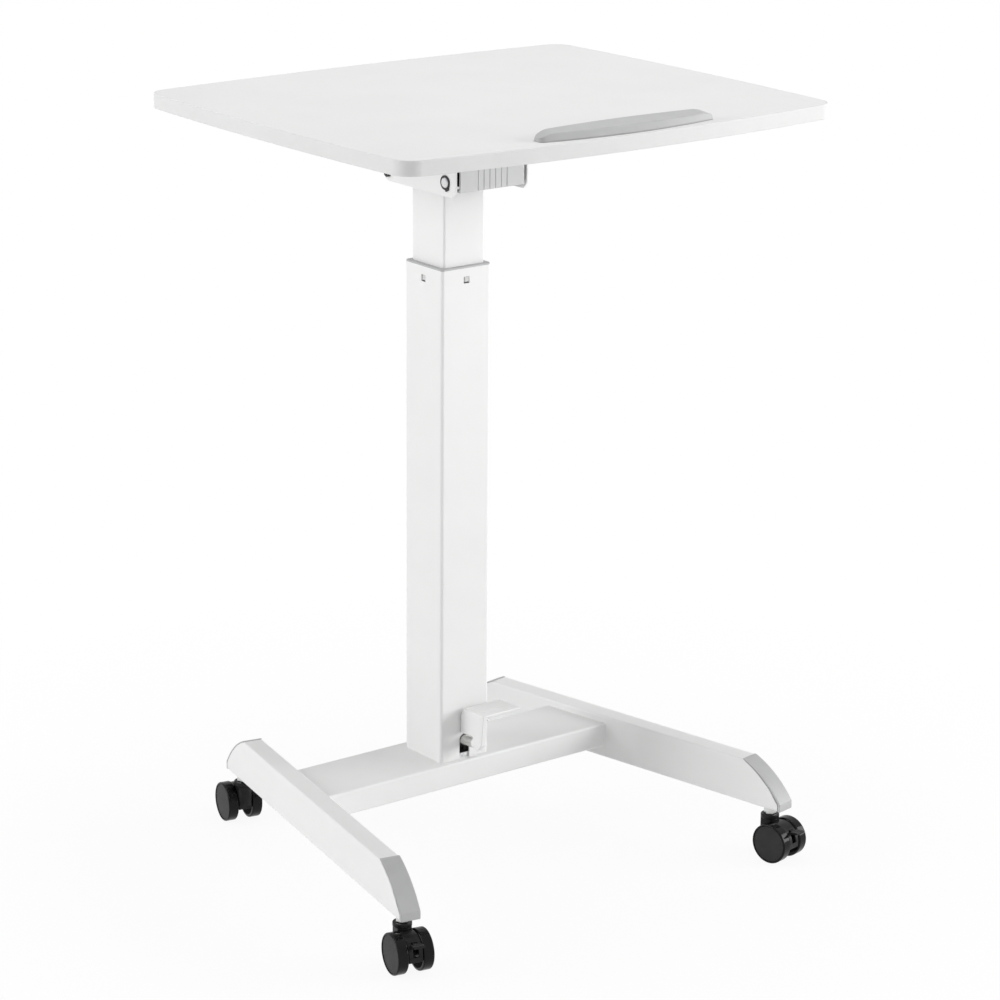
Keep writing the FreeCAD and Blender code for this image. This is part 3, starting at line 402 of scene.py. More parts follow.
def rounded_outline(corners, radii, steps=6):
    """A polygon with arcs for corners: one spoke swings into the other about a centre on the bisector."""
    corner = np.asarray(corners, float)
    before = np.roll(corner, 1, axis=0) - corner
    after = np.roll(corner, -1, axis=0) - corner
    before /= np.linalg.norm(before, axis=1, keepdims=True)
    after /= np.linalg.norm(after, axis=1, keepdims=True)
    half = np.arccos(np.sum(before * after, axis=1)) / 2
    radius = np.broadcast_to(np.asarray(radii, float), half.shape)
    bisector = before + after
    bisector /= np.linalg.norm(bisector, axis=1, keepdims=True)
    centre = corner + bisector * (radius / np.sin(half))[:, None]
    first = corner + before * (radius / np.tan(half))[:, None] - centre
    last = corner + after * (radius / np.tan(half))[:, None] - centre
    swing = (np.pi - 2 * half)[:, None, None]
    share = np.linspace(0, 1, steps + 1)[None, :, None]
    spoke = np.sin((1 - share) * swing) * first[:, None] + np.sin(share * swing) * last[:, None]
    return (centre[:, None] + spoke / np.sin(swing)).reshape(-1, 2)


def walled(shape, inner):
    """Gives a sheet its thickness: its faces turned over on inner points, and quads along every free edge."""
    points, faces = shape
    outer = np.array(faces)
    count = len(points)
    edges = np.stack([outer, np.roll(outer, -1, axis=1)], -1).reshape(-1, 2)
    free = edges[~np.isin(edges @ [count, 1], edges @ [1, count])]
    rims = np.column_stack([free[:, 1], free[:, 0], free[:, 0] + count, free[:, 1] + count])
    return np.concatenate([points, inner]), np.concatenate([outer, outer[:, ::-1] + count, rims]).tolist()


def circle_through(first, second, third):
    """Centre and radius of the circle through three points, from two equations of equal distance."""
    a, others = np.array(first), np.array([second, third])
    centre = np.linalg.solve(2 * (others - a), (others ** 2).sum(axis=1) - (a ** 2).sum())
    return centre, np.linalg.norm(centre - a)


def corner_centre(one, other, radius, corner):
    """Centre of a corner's arc: where two side circles, shrunk by its radius, cross near the corner."""
    (p, reach_p), (q, reach_q) = one, other
    reach_p, reach_q = reach_p - radius, reach_q - radius
    apart = q - p
    length = np.linalg.norm(apart)
    along = (reach_p ** 2 - reach_q ** 2 + length ** 2) / (2 * length)
    aside = math.sqrt(reach_p ** 2 - along ** 2) * np.array([-apart[1], apart[0]]) / length
    base = p + along * apart / length
    crossings = np.array([base + aside, base - aside])
    return crossings[np.argmin(np.linalg.norm(crossings - corner, axis=1))]


def arc(centre, radius, start, stop, count):
    """Points of a counter-clockwise arc about a centre, from one direction to another."""
    first = math.atan2(start[1], start[0])
    last = math.atan2(stop[1], stop[0])
    turn = first + np.mod(last - first, 2 * np.pi) * np.linspace(0, 1, count)
    return centre + radius * np.column_stack([np.cos(turn), np.sin(turn)])


def top_outline(inset):
    """The worktop's plan moved in by an inset: four bulging sides, each a long arc, joined by corner arcs."""
    half = (TOP_HIGH[0] - TOP_LOW[0]) / 2 - inset
    front, back = TOP_LOW[1] + inset, TOP_HIGH[1] - inset
    side, near, far = half - TOP_BOW_SIDE, front + TOP_BOW_FRONT, back - TOP_BOW_BACK
    middle = (front + back) / 2
    corners = np.array([(side, near), (side, far), (-side, far), (-side, near)])
    bulges = np.array([(half, middle), (0, back), (-half, middle), (0, front)])
    sides = [circle_through(corners[k], bulges[k], corners[(k + 1) % 4]) for k in range(4)]
    radius = TOP_CORNER - inset
    centres = [corner_centre(sides[k - 1], sides[k], radius, corners[k]) for k in range(4)]
    outline = []
    for k in range(4):
        before, after, beyond = sides[k - 1][0], sides[k][0], centres[(k + 1) % 4]
        outline += [arc(centres[k], radius, centres[k] - before, centres[k] - after, 17),
                    arc(*sides[k], centres[k] - after, beyond - after, 26)[1:-1]]
    return np.concatenate(outline)


def pulses(position, centres, width):
    """Smooth grooves: one cosine bell of a given width at each centre, added up."""
    away = np.abs(np.asarray(position)[:, None] - np.asarray(centres)[None, :])
    bell = 0.5 + 0.5 * np.cos(np.pi * np.clip(away / (width / 2), 0, 1))
    return np.sqrt(bell.sum(axis=1))


def end_inset(z):
    """How far in from its tip a foot's end lies: nothing up to the knee, then an arc over its chord."""
    knee = FOOT_LOW + END_FLAT
    rise = FOOT_HIGH - knee
    chord = math.hypot(END_RUN, rise)
    radius = chord ** 2 / (8 * END_SAG) + END_SAG / 2
    to_centre = (radius - END_SAG) * np.array([rise, -END_RUN]) / chord
    centre = np.array([END_RUN / 2, knee + rise / 2]) + to_centre
    curve = centre[0] - np.sqrt(radius ** 2 - (z - centre[1]) ** 2)
    return np.where(z > knee, np.maximum(curve, 0), 0.0)


def foot_tube():
    """A tall rounded section; each point runs straight from the rear end's curve to the front one's."""
    corner_points = 2 * (5 + 1)
    middle = (FOOT_LOW + FOOT_HIGH) / 2
    outline = rounded_rectangle(FOOT_WIDTH, FOOT_HIGH - FOOT_LOW, FOOT_ROUND, 5) + [0, middle]
    climb = np.linspace(FOOT_LOW + FOOT_ROUND, FOOT_HIGH - FOOT_ROUND, 18)[1:-1]
    right = np.column_stack([np.full(len(climb), FOOT_WIDTH / 2), climb])
    left = right[::-1] * [-1, 1]
    section = np.concatenate([right, outline[:corner_points], left, outline[corner_points:]])
    back_off = CAP_THICK + CAP_SEAM + end_inset(section[:, 1])
    rear = np.column_stack([section[:, 0], FOOT_REAR - back_off, section[:, 1]])
    front = np.column_stack([section[:, 0], back_off - FOOT_FRONT, section[:, 1]])
    return skin([rear, front])


def foot_cap():
    """Flat rounded sections stacked up the front end's curve, drawn in a little at the lower rim."""
    knee = FOOT_LOW + END_FLAT
    heights = np.concatenate([[FOOT_LOW, FOOT_LOW + CAP_ROUND / 2], np.linspace(knee, FOOT_HIGH, 22)])
    draw_in = np.where(np.arange(len(heights)) == 0, CAP_ROUND / 2, 0.0)
    rings = [level(rounded_rectangle(FOOT_WIDTH - 2 * i, CAP_THICK - i, CAP_ROUND - i) + [0, inset], z)
             for z, i, inset in zip(heights, draw_in, CAP_THICK / 2 - FOOT_FRONT + end_inset(heights))]
    return skin(rings)


def build_feet(coat, plastic):
    """Two splayed feet and the caps over their four ends; the rear caps are the front one turned about."""
    for side, name in ((-1, "left"), (1, "right")):
        tube = moved(foot_tube(), lambda points: on_foot(points, side))
        make(name + "_foot_skin", [tube], "base", [name + "_foot"], coat, crease=30)
        for end, shift, turn in (("front", 0.0, 0.0), ("rear", FOOT_REAR - FOOT_FRONT, math.pi)):
            cap = moved(foot_cap(), lambda points: on_foot(points - [0, shift, 0], side, 0.0, turn))
            label = end + "_" + name + "_cap"
            make(label + "_skin", [cap], "base", [label], plastic, crease=35)


def build_beam(coat):
    """A flat rounded section between the feet, its ends cut to their splay."""
    low, high = (np.array(corner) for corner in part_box("cross_beam"))
    width, height = (high - low)[1:]
    section = rounded_rectangle(width, height, BEAM_ROUND, 6) + (low + high)[1:] / 2
    reach = FOOT_X - FOOT_WIDTH / 2 / math.cos(SPLAY) - (section[:, 0] - COLUMN_Y) * math.tan(SPLAY)
    left = np.column_stack([-reach, section])
    right = np.column_stack([reach, section])
    make("cross_beam_skin", [skin([left, right])], "base", ["cross_beam"], coat, crease=30)


def outer_outline():
    """The outer column's outline with extra points where the slot and the clip windows break its faces."""
    width, depth = OUTER_HIGH[0] - OUTER_LOW[0], OUTER_HIGH[1] - OUTER_LOW[1]
    corners = rounded_rectangle(width, depth, OUTER_CORNER, 8).reshape(4, -1, 2)
    half = np.array([-WINDOW / 2, WINDOW / 2])
    arch = SLOT_WIDTH / 2 * np.sin(np.linspace(-np.pi / 2, np.pi / 2, 17))
    front = np.union1d(arch, half)
    right = np.column_stack([[width / 2] * 2, half])
    back = np.column_stack([half[::-1], [depth / 2] * 2])
    front = np.column_stack([front, [-depth / 2] * len(front)])
    return np.concatenate([right, corners[0], back, corners[1], -right, corners[2], front, corners[3]])


def build_outer_column(coat):
    """The outline stacked in rows, one lifted to a round arch over the slot; slot and windows stay open."""
    outline = outer_outline()
    width, depth = OUTER_HIGH[0] - OUTER_LOW[0], OUTER_HIGH[1] - OUTER_LOW[1]
    on_front = np.isclose(outline[:, 1], -depth / 2)
    in_slot = on_front & (np.abs(outline[:, 0]) <= SLOT_WIDTH / 2 + SMALL)
    window_z = OUTER_HIGH[2] - WINDOW_BELOW
    spring = SLOT_TOP - SLOT_WIDTH / 2
    lift = np.sqrt(np.clip((SLOT_WIDTH / 2) ** 2 - outline[:, 0] ** 2, 0, None))
    rows = [np.full(len(outline), OUTER_LOW[2]), spring + np.where(in_slot, lift, 0),
            np.full(len(outline), SLOT_TOP + SLOT_WIDTH / 2), np.full(len(outline), window_z - WINDOW / 2),
            np.full(len(outline), window_z + WINDOW / 2),
            np.full(len(outline), OUTER_HIGH[2] + COLLAR_COVERED)]
    rings = [np.column_stack([outline + [0, COLUMN_Y], z]) for z in rows]
    points, faces = skin(rings, start=False, end=False)
    flat_x = np.isclose(np.abs(outline[:, 0]), width / 2)
    flat_y = np.isclose(np.abs(outline[:, 1]), depth / 2)
    near = WINDOW / 2 + SMALL
    in_window = (flat_x & (np.abs(outline[:, 1]) < near)) | (flat_y & (np.abs(outline[:, 0]) < near))
    count = len(outline)
    beside = np.roll(np.arange(count), -1)
    drop = np.zeros((len(rows) - 1, count), bool)
    drop[0] = in_slot & in_slot[beside]
    drop[3] = in_window & in_window[beside]
    kept = [face for face, left_out in zip(faces, drop.ravel()) if not left_out]
    half = np.array([width, depth]) / 2 - OUTER_CORNER
    spine = np.clip(points[:, :2] - [0, COLUMN_Y], -half, half) + [0, COLUMN_Y]
    inside = np.column_stack([spine + (points[:, :2] - spine) * (1 - TUBE_WALL / OUTER_CORNER), points[:, 2]])
    make("outer_column_skin", [walled((points, kept), inside)], "base", ["outer_column"], coat,
         crease=30)


def build_collar(grey, pale):
    """The collar's flange as a closed ring with eased rims, and four clips that fill the column's windows."""
    width, depth = OUTER_HIGH[0] - OUTER_LOW[0], OUTER_HIGH[1] - OUTER_LOW[1]
    inner = INNER_HIGH - INNER_LOW
    low, high = OUTER_HIGH[2] + COLLAR_COVERED, OUTER_HIGH[2] + COLLAR_FLANGE
    turn = np.linspace(0, np.pi / 2, 4)
    rims = [(COLLAR_EASE * (1 - math.sin(t)), high - COLLAR_EASE * (1 - math.cos(t))) for t in turn[::-1]]
    rings = [level(rounded_rectangle(width - 2 * i, depth - 2 * i, OUTER_CORNER - i), z)
             for i, z in [(0.0, low)] + rims]
    bore = rounded_rectangle(inner[0] + COLLAR_GAP, inner[1] + COLLAR_GAP, INNER_CORNER)
    rings += [level(bore, z) for z in (high, low)]
    flange = skin(np.array(rings) + [0, COLUMN_Y, 0], loop=True)
    square = rounded_rectangle(2 * CLIP_HALF, 2 * CLIP_HALF, CLIP_ROUND, 3)
    middle = OUTER_HIGH[2] - WINDOW_BELOW + CLIP_OFF
    clips = []
    for sign in (-1, 1):
        face = sign * (width / 2 - CLIP_SINK)
        start, stop = sorted((face, face - sign * CLIP_DEEP))
        clips.append(prism(square + [COLUMN_Y + sign * CLIP_OFF, middle], 0, start, stop))
        face = COLUMN_Y + sign * (depth / 2 - CLIP_SINK)
        start, stop = sorted((face, face - sign * CLIP_DEEP))
        clips.append(prism(square + [-sign * CLIP_OFF, middle], 1, start, stop))
    make("guide_collar_flange", [flange], "base", ["guide_collar"], grey)
    make("guide_collar_clips", clips, "base", [], pale, ease=CLIP_EASE)


def build_inner_column(coat):
    """The sliding tube: a rounded section drawn straight up."""
    size = INNER_HIGH - INNER_LOW
    outline = rounded_rectangle(size[0], size[1], INNER_CORNER, 8) + [0, COLUMN_Y]
    tube = skin([level(outline, INNER_LOW[2]), level(outline, INNER_HIGH[2])])
    make("inner_column_skin", [tube], "lift_column", ["inner_column"], coat, crease=30)


def build_edge_band(edging):
    """A ring round the panel: the worktop's outline with eased rims outside, its own thickness inside."""
    low, high = TOP_LOW[2], TOP_HIGH[2]
    turn = np.linspace(0, np.pi / 2, 5)
    inset = BAND_ROUND * (1 - np.sin(turn))
    rise = BAND_ROUND * (1 - np.cos(turn))
    stations = list(zip(inset, low + rise)) + list(zip(inset[::-1], high - rise[::-1]))
    stations += [(BAND_THICK, high), (BAND_THICK, low)]
    rings = [level(top_outline(i), z) for i, z in stations]
    make("edge_band_skin", [skin(rings, loop=True)], "worktop", ["edge_band"], edging)


def build_book_stop(plastic):
    """A section (undercut, front face, soft crease, gentle top, back) carried along X; the plan bulges."""
    length, depth = STOP_HIGH[0] - STOP_LOW[0], STOP_HIGH[1] - STOP_LOW[1]
    height = STOP_HIGH[2] - STOP_LOW[2]
    section = rounded_outline([(STOP_UNDERCUT, 0), (depth, 0), (depth, STOP_BACK), (STOP_CREST, height),
                               (STOP_CREASE, STOP_CREASE_UP), (0, STOP_LIP), (STOP_UNDERCUT, STOP_LIP)],
                              [STOP_ROUND[edge] for edge in ("foot", "foot", "back", "crest", "crease",
                                                             "foot", "undercut")], 8)
    x = length / 2 * np.sin(np.linspace(-np.pi / 2, np.pi / 2, 161))
    from_end = length / 2 - np.abs(x)

    def closing(run):
        """Quarter-ellipse: 1 at the end, 0 from the run's length inwards."""
        return 1 - np.sqrt(np.clip(1 - (1 - np.clip(from_end / run, 0, 1)) ** 2, 0, 1))

    near = STOP_BOW * (2 * x / length) ** 2 + STOP_CORNER * closing(STOP_CORNER)
    far = depth - near
    y = near[:, None] + (far - near)[:, None] * section[None, :, 0] / depth
    inward = 1 - (1 - np.clip(from_end / STOP_FALL, 0, 1)) ** 2
    at_front, at_crest = STOP_END_SHARE
    end_share = np.interp(section[:, 0], [STOP_CREASE, STOP_CREST], [at_front, at_crest])
    z = section[None, :, 1] * (end_share + (1 - end_share) * inward[:, None])
    rings = np.stack([np.broadcast_to(x[:, None], y.shape), STOP_LOW[1] + y, STOP_LOW[2] + z], -1)
    make("book_stop_skin", [skin(rings)], "worktop", ["book_stop"], plastic, crease=50)


def cheek_outline():
    """Side view of a head cheek, in (y, z), with rounded corners."""
    back, top, bottom, ear = HEAD_HIGH[1], HEAD_HIGH[2], HEAD_LOW[2], SHAFT_Y - EAR
    corners = [(COLUMN_Y - HEAD_FRONT, top), (ear, SHAFT_Z + EAR), (ear, bottom + EAR_CUT),
               (ear + EAR_CUT, bottom), (back, bottom), (back, top)]
    return rounded_outline(corners, [*HEAD_ROUNDS, HEAD_CORNER, HEAD_TOP_ROUND])


def build_head(coat, zinc, black):
    """Cheeks and plate of the head, the shaft with its clips, and the tie between the cheeks."""
    outside = HEAD_HIGH[0]
    cheek = prism(cheek_outline(), 0, outside - HEAD_CHEEK, outside)
    front, back = COLUMN_Y - HEAD_FRONT, HEAD_HIGH[1]
    top = HEAD_HIGH[2]
    flat = [(-outside, front), (outside, front), (outside, back), (-outside, back)]
    plate = prism(flat, 2, top - HEAD_PLATE, top)
    make("head_bracket_skin", [cheek, mirrored(cheek), plate], "lift_column", ["head_bracket"],
         coat, ease=HEAD_EASE)

    low, high = (np.array(corner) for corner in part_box("tilt_shaft"))
    half, tip = (high[0] - low[0]) / 2, SHAFT_R - SHAFT_CHAMFER
    profile = [(tip, -half), (SHAFT_R, SHAFT_CHAMFER - half), (SHAFT_R, half - SHAFT_CHAMFER), (tip, half)]
    shaft = turned(profile, (0, SHAFT_Y, SHAFT_Z), (1, 0, 0))
    make("tilt_shaft_skin", [shaft], "lift_column", ["tilt_shaft"], zinc, crease=25)

    swing = np.linspace(CIRCLIP_OPEN, 2 * np.pi - CIRCLIP_OPEN, 49) - CIRCLIP_TURN
    outer = CIRCLIP_R * np.column_stack([np.cos(swing), np.sin(swing)])
    inner = SHAFT_R / CIRCLIP_R * outer[::-1]
    outlines = [np.concatenate([outer, inner])] + [circle(CIRCLIP_LUG_R, 20) + outer[k] for k in (0, -1)]
    clip = [prism(outline + [SHAFT_Y, SHAFT_Z], 0, outside, outside + CIRCLIP) for outline in outlines]
    make("shaft_circlips_skin", clip + [mirrored(shape) for shape in clip], "lift_column", ["shaft_circlips"],
         black, ease=CIRCLIP_EASE)

    low, high = (np.array(corner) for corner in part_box("cheek_tie"))
    middle = (low + high) / 2
    head_r, head = (high[1] - low[1]) / 2, high[0] - outside
    inside = outside - HEAD_CHEEK
    bar = turned([(TIE_R, -inside), (TIE_R, inside)], middle, (1, 0, 0))
    place = [outside, middle[1], middle[2]]
    screw = moved(socket_head(head_r, head), lambda points: points[:, [2, 0, 1]] + place)
    make("cheek_tie_skin", [bar], "lift_column", ["cheek_tie"], zinc)
    make("cheek_tie_screws", [screw, mirrored(screw)], "lift_column", [], black)


def socket_head(radius, height):
    """A screw head standing on the plane z = 0: eased rim, flat face, and a hexagon socket sunk into it."""
    rim, socket = SOCKET_RIM * height, SOCKET_R * radius
    turn = np.linspace(0, np.pi / 2, 5)
    rings = [level(circle(radius), 0.0)]
    rings += [level(circle(radius - rim * (1 - math.cos(t))), height - rim * (1 - math.sin(t))) for t in turn]
    rings += [level(circle(SOCKET_MOUTH * socket), height), level(hexagon(socket), SOCKET_LIP * height),
              level(hexagon(socket), SOCKET_FLOOR * height)]
    return skin(rings)


def build_screws(zinc):
    """Socket heads under the plates, each kind in a grid that spans the CAD node's own screws."""
    for name, (body, columns, rows, radius, height) in SCREW_HEADS.items():
        low, high = (np.array(corner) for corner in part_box(name + "s"))
        across = np.linspace(low[0] + radius, high[0] - radius, columns)
        ahead = np.linspace(low[1] + radius, high[1] - radius, rows)
        grid = np.stack(np.meshgrid(across, ahead), -1).reshape(-1, 2)
        head = moved(socket_head(radius, height), lambda points: points * [1, -1, -1])
        heads = [moved(head, lambda points: points + [x, y, low[2] + height]) for x, y in grid]
        make(name + "_heads", heads, body, [name + "s"], zinc)


def build_grip(plastic):
    """A channel section carried along X; bell-shaped grooves push its front face in at the ribs' pitch."""
    depth, height = GRIP_HIGH[1] - GRIP_LOW[1], GRIP_HIGH[2] - GRIP_LOW[2]
    wall = GRIP_WALL
    channel = [(depth, 0), (depth, wall), (wall, wall), (wall, height - wall), (depth, height - wall),
               (depth, height), (0, height), (0, 0)]
    radii = 6 * [GRIP_TIGHT] + 2 * [GRIP_ROUND]
    section = rounded_outline(channel, radii, 5)
    half = (GRIP_HIGH[0] - GRIP_LOW[0]) / 2
    x = np.linspace(-half, half, 389)
    centres = (np.arange(RIBS) - (RIBS - 1) / 2) * RIB_PITCH
    groove = RIB_DEPTH * pulses(x, centres, RIB_WIDTH)
    on_front = np.clip(1 - section[:, 0] / wall, 0, 1) ** 0.5 * (section[:, 0] < wall - SMALL)
    y = GRIP_LOW[1] + section[None, :, 0] + groove[:, None] * on_front[None, :]
    z = np.broadcast_to(GRIP_LOW[2] + section[None, :, 1], y.shape)
    rings = np.stack([np.broadcast_to(x[:, None], y.shape), y, z], -1)
    make("handle_grip_skin", [skin(rings)], "tilt_handle", ["handle_grip"], plastic,
         crease=50)


def rod_height(y):
    """Height of the pedal rod's sloping axis at a distance along Y from the column's axis."""
    return ROD_AT_WALL + math.tan(ROD_RISE) * (OUTER_LOW[1] - COLUMN_Y - y)


def build_pedal(coat, zinc):
    """A side plate with rounded corners, a tread with fine grooves across it, the boss and the steel rod."""
    reach = COLUMN_Y - PEDAL_LOW[1]
    back = COLUMN_Y - PEDAL_HIGH[1]
    front_top = PEDAL_HIGH[2]
    tread_top = front_top - PEDAL_TILT
    right = PEDAL_HIGH[0]
    chamfer = 2 * (PEDAL_TREAD_BACK - back)
    toe = PEDAL_LEAN - reach
    sole = toe + PEDAL_BOSS_R
    upper = -PEDAL_BOSS_BACK - PEDAL_REST
    lower = upper - PEDAL_RAKE
    side = [(-back, rod_height(-back) + ROD_CLEAR), (upper, rod_height(upper) + ROD_CLEAR),
            (lower, rod_height(lower) - PEDAL_BOSS_R), (sole, rod_height(sole) - PEDAL_BOSS_R),
            (toe, rod_height(toe)), (-reach, front_top), (-PEDAL_TREAD_BACK, tread_top),
            (-back, tread_top - chamfer)]
    outline = rounded_outline(np.array(side) + [COLUMN_Y, 0], PEDAL_ROUNDS)
    plate = prism(outline, 0, PEDAL_LEFT, PEDAL_LEFT + PEDAL_PLATE)
    y = np.linspace(-PEDAL_TREAD_BACK, -reach, 161)
    slope = tread_top - TREAD_SINK + PEDAL_TILT * np.linspace(0, 1, len(y))
    centres = -reach + GROOVE_START + GROOVE_PITCH * np.arange(GROOVES)
    from_curve = np.clip(TREAD_EASE - np.abs(y + reach), 0, None)
    eased = TREAD_EASE - np.sqrt(np.clip(TREAD_EASE ** 2 - from_curve ** 2, 0, None))
    top = np.column_stack([y, slope - GROOVE_DEPTH * pulses(y, centres, GROOVE_WIDTH) - eased])
    under = np.column_stack([y[::-8], slope[::-8] - PEDAL_TREAD + eased[::-8]])
    tread = prism(np.concatenate([top, under]) + [COLUMN_Y, 0], 0, PEDAL_LEFT + PEDAL_PLATE / 2, right)
    axis = np.array([0, -math.cos(ROD_RISE), math.sin(ROD_RISE)])
    start = np.array([0, COLUMN_Y - PEDAL_BOSS_BACK, rod_height(-PEDAL_BOSS_BACK)])
    run = (PEDAL_BOSS_FRONT - PEDAL_BOSS_BACK) / math.cos(ROD_RISE)
    rim = BOSS_RIM
    profile = np.concatenate([[(BOSS_BORE, 0)], quarter((PEDAL_BOSS_R - rim, rim), rim, -1),
                              quarter((PEDAL_BOSS_R - rim, run - rim), rim, 0), [(BOSS_BORE, run)]])
    boss = turned(profile, start, axis)
    make("foot_pedal_plate", [plate, boss], "pedal", ["foot_pedal"], coat, ease=PEDAL_EASE)
    make("foot_pedal_tread", [tread], "pedal", [], coat, crease=60)
    inner_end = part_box("pedal_rod")[1][1]
    inner = np.array([0, inner_end, rod_height(inner_end - COLUMN_Y)])
    length = (inner_end - COLUMN_Y + ROD_REACH) / math.cos(ROD_RISE)
    rod = turned([(ROD_R - ROD_CHAMFER, 0), (ROD_R, ROD_CHAMFER), (ROD_R, length)], inner, axis)
    make("pedal_rod_skin", [rod], "pedal", ["pedal_rod"], zinc)


def wheel_shapes():
    """Tread, face and inner web of the +X wheel, turned about X: rounded rims, a lip, a domed disc."""
    inner, outer = WHEEL_GAP / 2, WHEEL_GAP / 2 + WHEEL_WIDTH
    rim, lip, sunk = WHEEL_ROUND, WHEEL_LIP, outer - 2 * WHEEL_FACE_SINK
    web_r, web = WHEEL_R - 2 * rim, inner + WHEEL_FACE_SINK
    tread = np.concatenate([[(WHEEL_BORE, web), (web_r, web), (web_r, inner)],
                            quarter((WHEEL_R - rim, inner + rim), rim, -1, 7),
                            quarter((WHEEL_R - rim, outer - rim), rim, 0, 7),
                            [(WHEEL_FACE_R + lip, outer), (WHEEL_FACE_R, outer - lip), (WHEEL_FACE_R, sunk),
                             (WHEEL_BORE, sunk)]])
    reach = np.linspace(1, WHEEL_EYE, 14)
    dome = outer - WHEEL_FACE_SINK + WHEEL_DOME * WHEEL_FACE_SINK * (1 - reach ** 2)
    disc = np.column_stack([reach * (WHEEL_FACE_R - lip), dome])
    disc = np.concatenate([[(WHEEL_BORE, sunk - lip), (WHEEL_FACE_R - lip, sunk - lip)], disc])
    back = [(WHEEL_BORE, web - lip), (web_r - lip, web - lip), (web_r - lip, web + lip),
            (WHEEL_BORE, web + lip)]
    return [turned(profile, (0, 0, 0), (1, 0, 0), 96) for profile in (tread, disc, back)]


def hood_band(start, stop, low_x, high_x):
    """A flat rounded section, (x, radius), swung about the axle from one angle to another."""
    width = high_x - low_x
    section = rounded_rectangle(width, HOOD_WALL, min(HOOD_BAND_ROUND, HOOD_BAND_SHARE * width), 4)
    section = section + [(low_x + high_x) / 2, HOOD_R - HOOD_WALL / 2]
    angle = np.radians(np.linspace(start, stop, max(3, int(abs(stop - start) / 4))))
    x = np.broadcast_to(section[None, :, 0], (len(angle), len(section)))
    y = section[None, :, 1] * np.cos(angle)[:, None]
    z = section[None, :, 1] * np.sin(angle)[:, None]
    return skin(np.stack([x, y, z], -1))


def housing_shapes(braked):
    """Hood band over the axle, side walls, hub and neck; a braked hood has a slot for the lever's web."""
    cut = HOOD_CUT - WHEEL_R
    rear = math.degrees(math.asin(cut / HOOD_R))
    front = 180 - rear
    if braked:
        slot_top = 180 - math.degrees(math.asin(BRAKE_SLOT_HIGH / HOOD_R))
        slot_low = 180 - math.degrees(math.asin(BRAKE_SLOT_LOW / HOOD_R))
        shapes = [hood_band(start, stop, -HOOD_HALF, HOOD_HALF)
                  for start, stop in ((rear, slot_top), (slot_low, front))]
        shapes += [hood_band(slot_top, slot_low, low, high)
                   for low, high in ((-HOOD_HALF, -BRAKE_SLOT_HALF), (BRAKE_SLOT_HALF, HOOD_HALF))]
    else:
        shapes = [hood_band(rear, front, -HOOD_HALF, HOOD_HALF)]
    swing = np.radians(np.linspace(rear, front, 61))
    wall = (HOOD_R - HOOD_SIDE_BELOW) * np.column_stack([np.cos(swing), np.sin(swing)])
    outside = HOOD_HALF - HOOD_SIDE_SINK
    shapes += [prism(wall, 0, low, low + HOOD_SIDE) for low in (-outside, outside - HOOD_SIDE)]
    hub = [(HUB_R - HUB_EASE, -HOOD_HALF), (HUB_R, HUB_EASE - HOOD_HALF), (HUB_R, HOOD_HALF - HUB_EASE),
           (HUB_R - HUB_EASE, HOOD_HALF)]
    shapes.append(turned(hub, (0, 0, 0), (1, 0, 0)))
    slim = circle(NECK_R, 64)
    slim = np.column_stack([np.clip(slim[:, 0], -HOOD_HALF, HOOD_HALF), slim[:, 1] + TRAIL])
    shapes.append(prism(slim, 2, 0.0, NECK_FOOT + NECK_SINK))
    rim, top = NECK_RIM, NECK_TOP - WHEEL_R
    profile = np.concatenate([[(NECK_EYE, NECK_FOOT)], quarter((NECK_R - rim, NECK_FOOT + rim), rim, -1),
                              quarter((NECK_R - rim, top - rim), rim, 0),
                              [(NECK_BORE, top), (NECK_BORE, top - NECK_BORE_DEEP)]])
    shapes.append(turned(profile, (0, TRAIL, 0), (0, 0, 1), 64))
    return shapes


def brake_shapes():
    """A web from the pivot out through the hood's slot to a broad flap with three ribs, drawn in (y, z)."""
    drop, run = BRAKE_PIVOT_UP - BRAKE_TIP_UP, BRAKE_REACH - BRAKE_PIVOT_OUT
    length, slope = math.hypot(run, drop), math.atan2(drop, run)
    half, root = BRAKE_THICK / 2, BRAKE_PIVOT_OUT - BRAKE_FLAP
    flap = rounded_outline([(root, -half), (root, half), (-length, half), (-length, -half)],
                           [BRAKE_ROUND, BRAKE_ROUND, BRAKE_TIP_ROUND, BRAKE_ROUND])
    web = [(0, -half), (0, half), (root - half, half), (root - half, -half)]
    shapes = [prism(flap, 0, -BRAKE_HALF, BRAKE_HALF), prism(web, 0, -BRAKE_WEB, BRAKE_WEB),
              turned([(BRAKE_EYE_R, -BRAKE_WEB), (BRAKE_EYE_R, BRAKE_WEB)], (0, 0, 0), (1, 0, 0), 32)]
    for k in range(BRAKE_RIBS):
        rib = circle(BRAKE_RIB_R, 16) + [BRAKE_RIB_PITCH * (k + 1) - length, half - BRAKE_RIB_R / 2]
        shapes.append(prism(rib, 0, BRAKE_RIB_PITCH - BRAKE_HALF, BRAKE_HALF - BRAKE_RIB_PITCH))
    cos, sin = math.cos(slope), math.sin(slope)
    turn = np.array([[1, 0, 0], [0, cos, sin], [0, -sin, cos]])
    pivot = [0, -BRAKE_PIVOT_OUT, BRAKE_PIVOT_UP]
    return [moved(shape, lambda points: points @ turn + pivot) for shape in shapes]


def on_caster(shape, side, along, turn):
    """From the axle's own frame to the foot."""
    return moved(shape, lambda points: on_foot(points + [0, -TRAIL, WHEEL_R], side, along, turn))


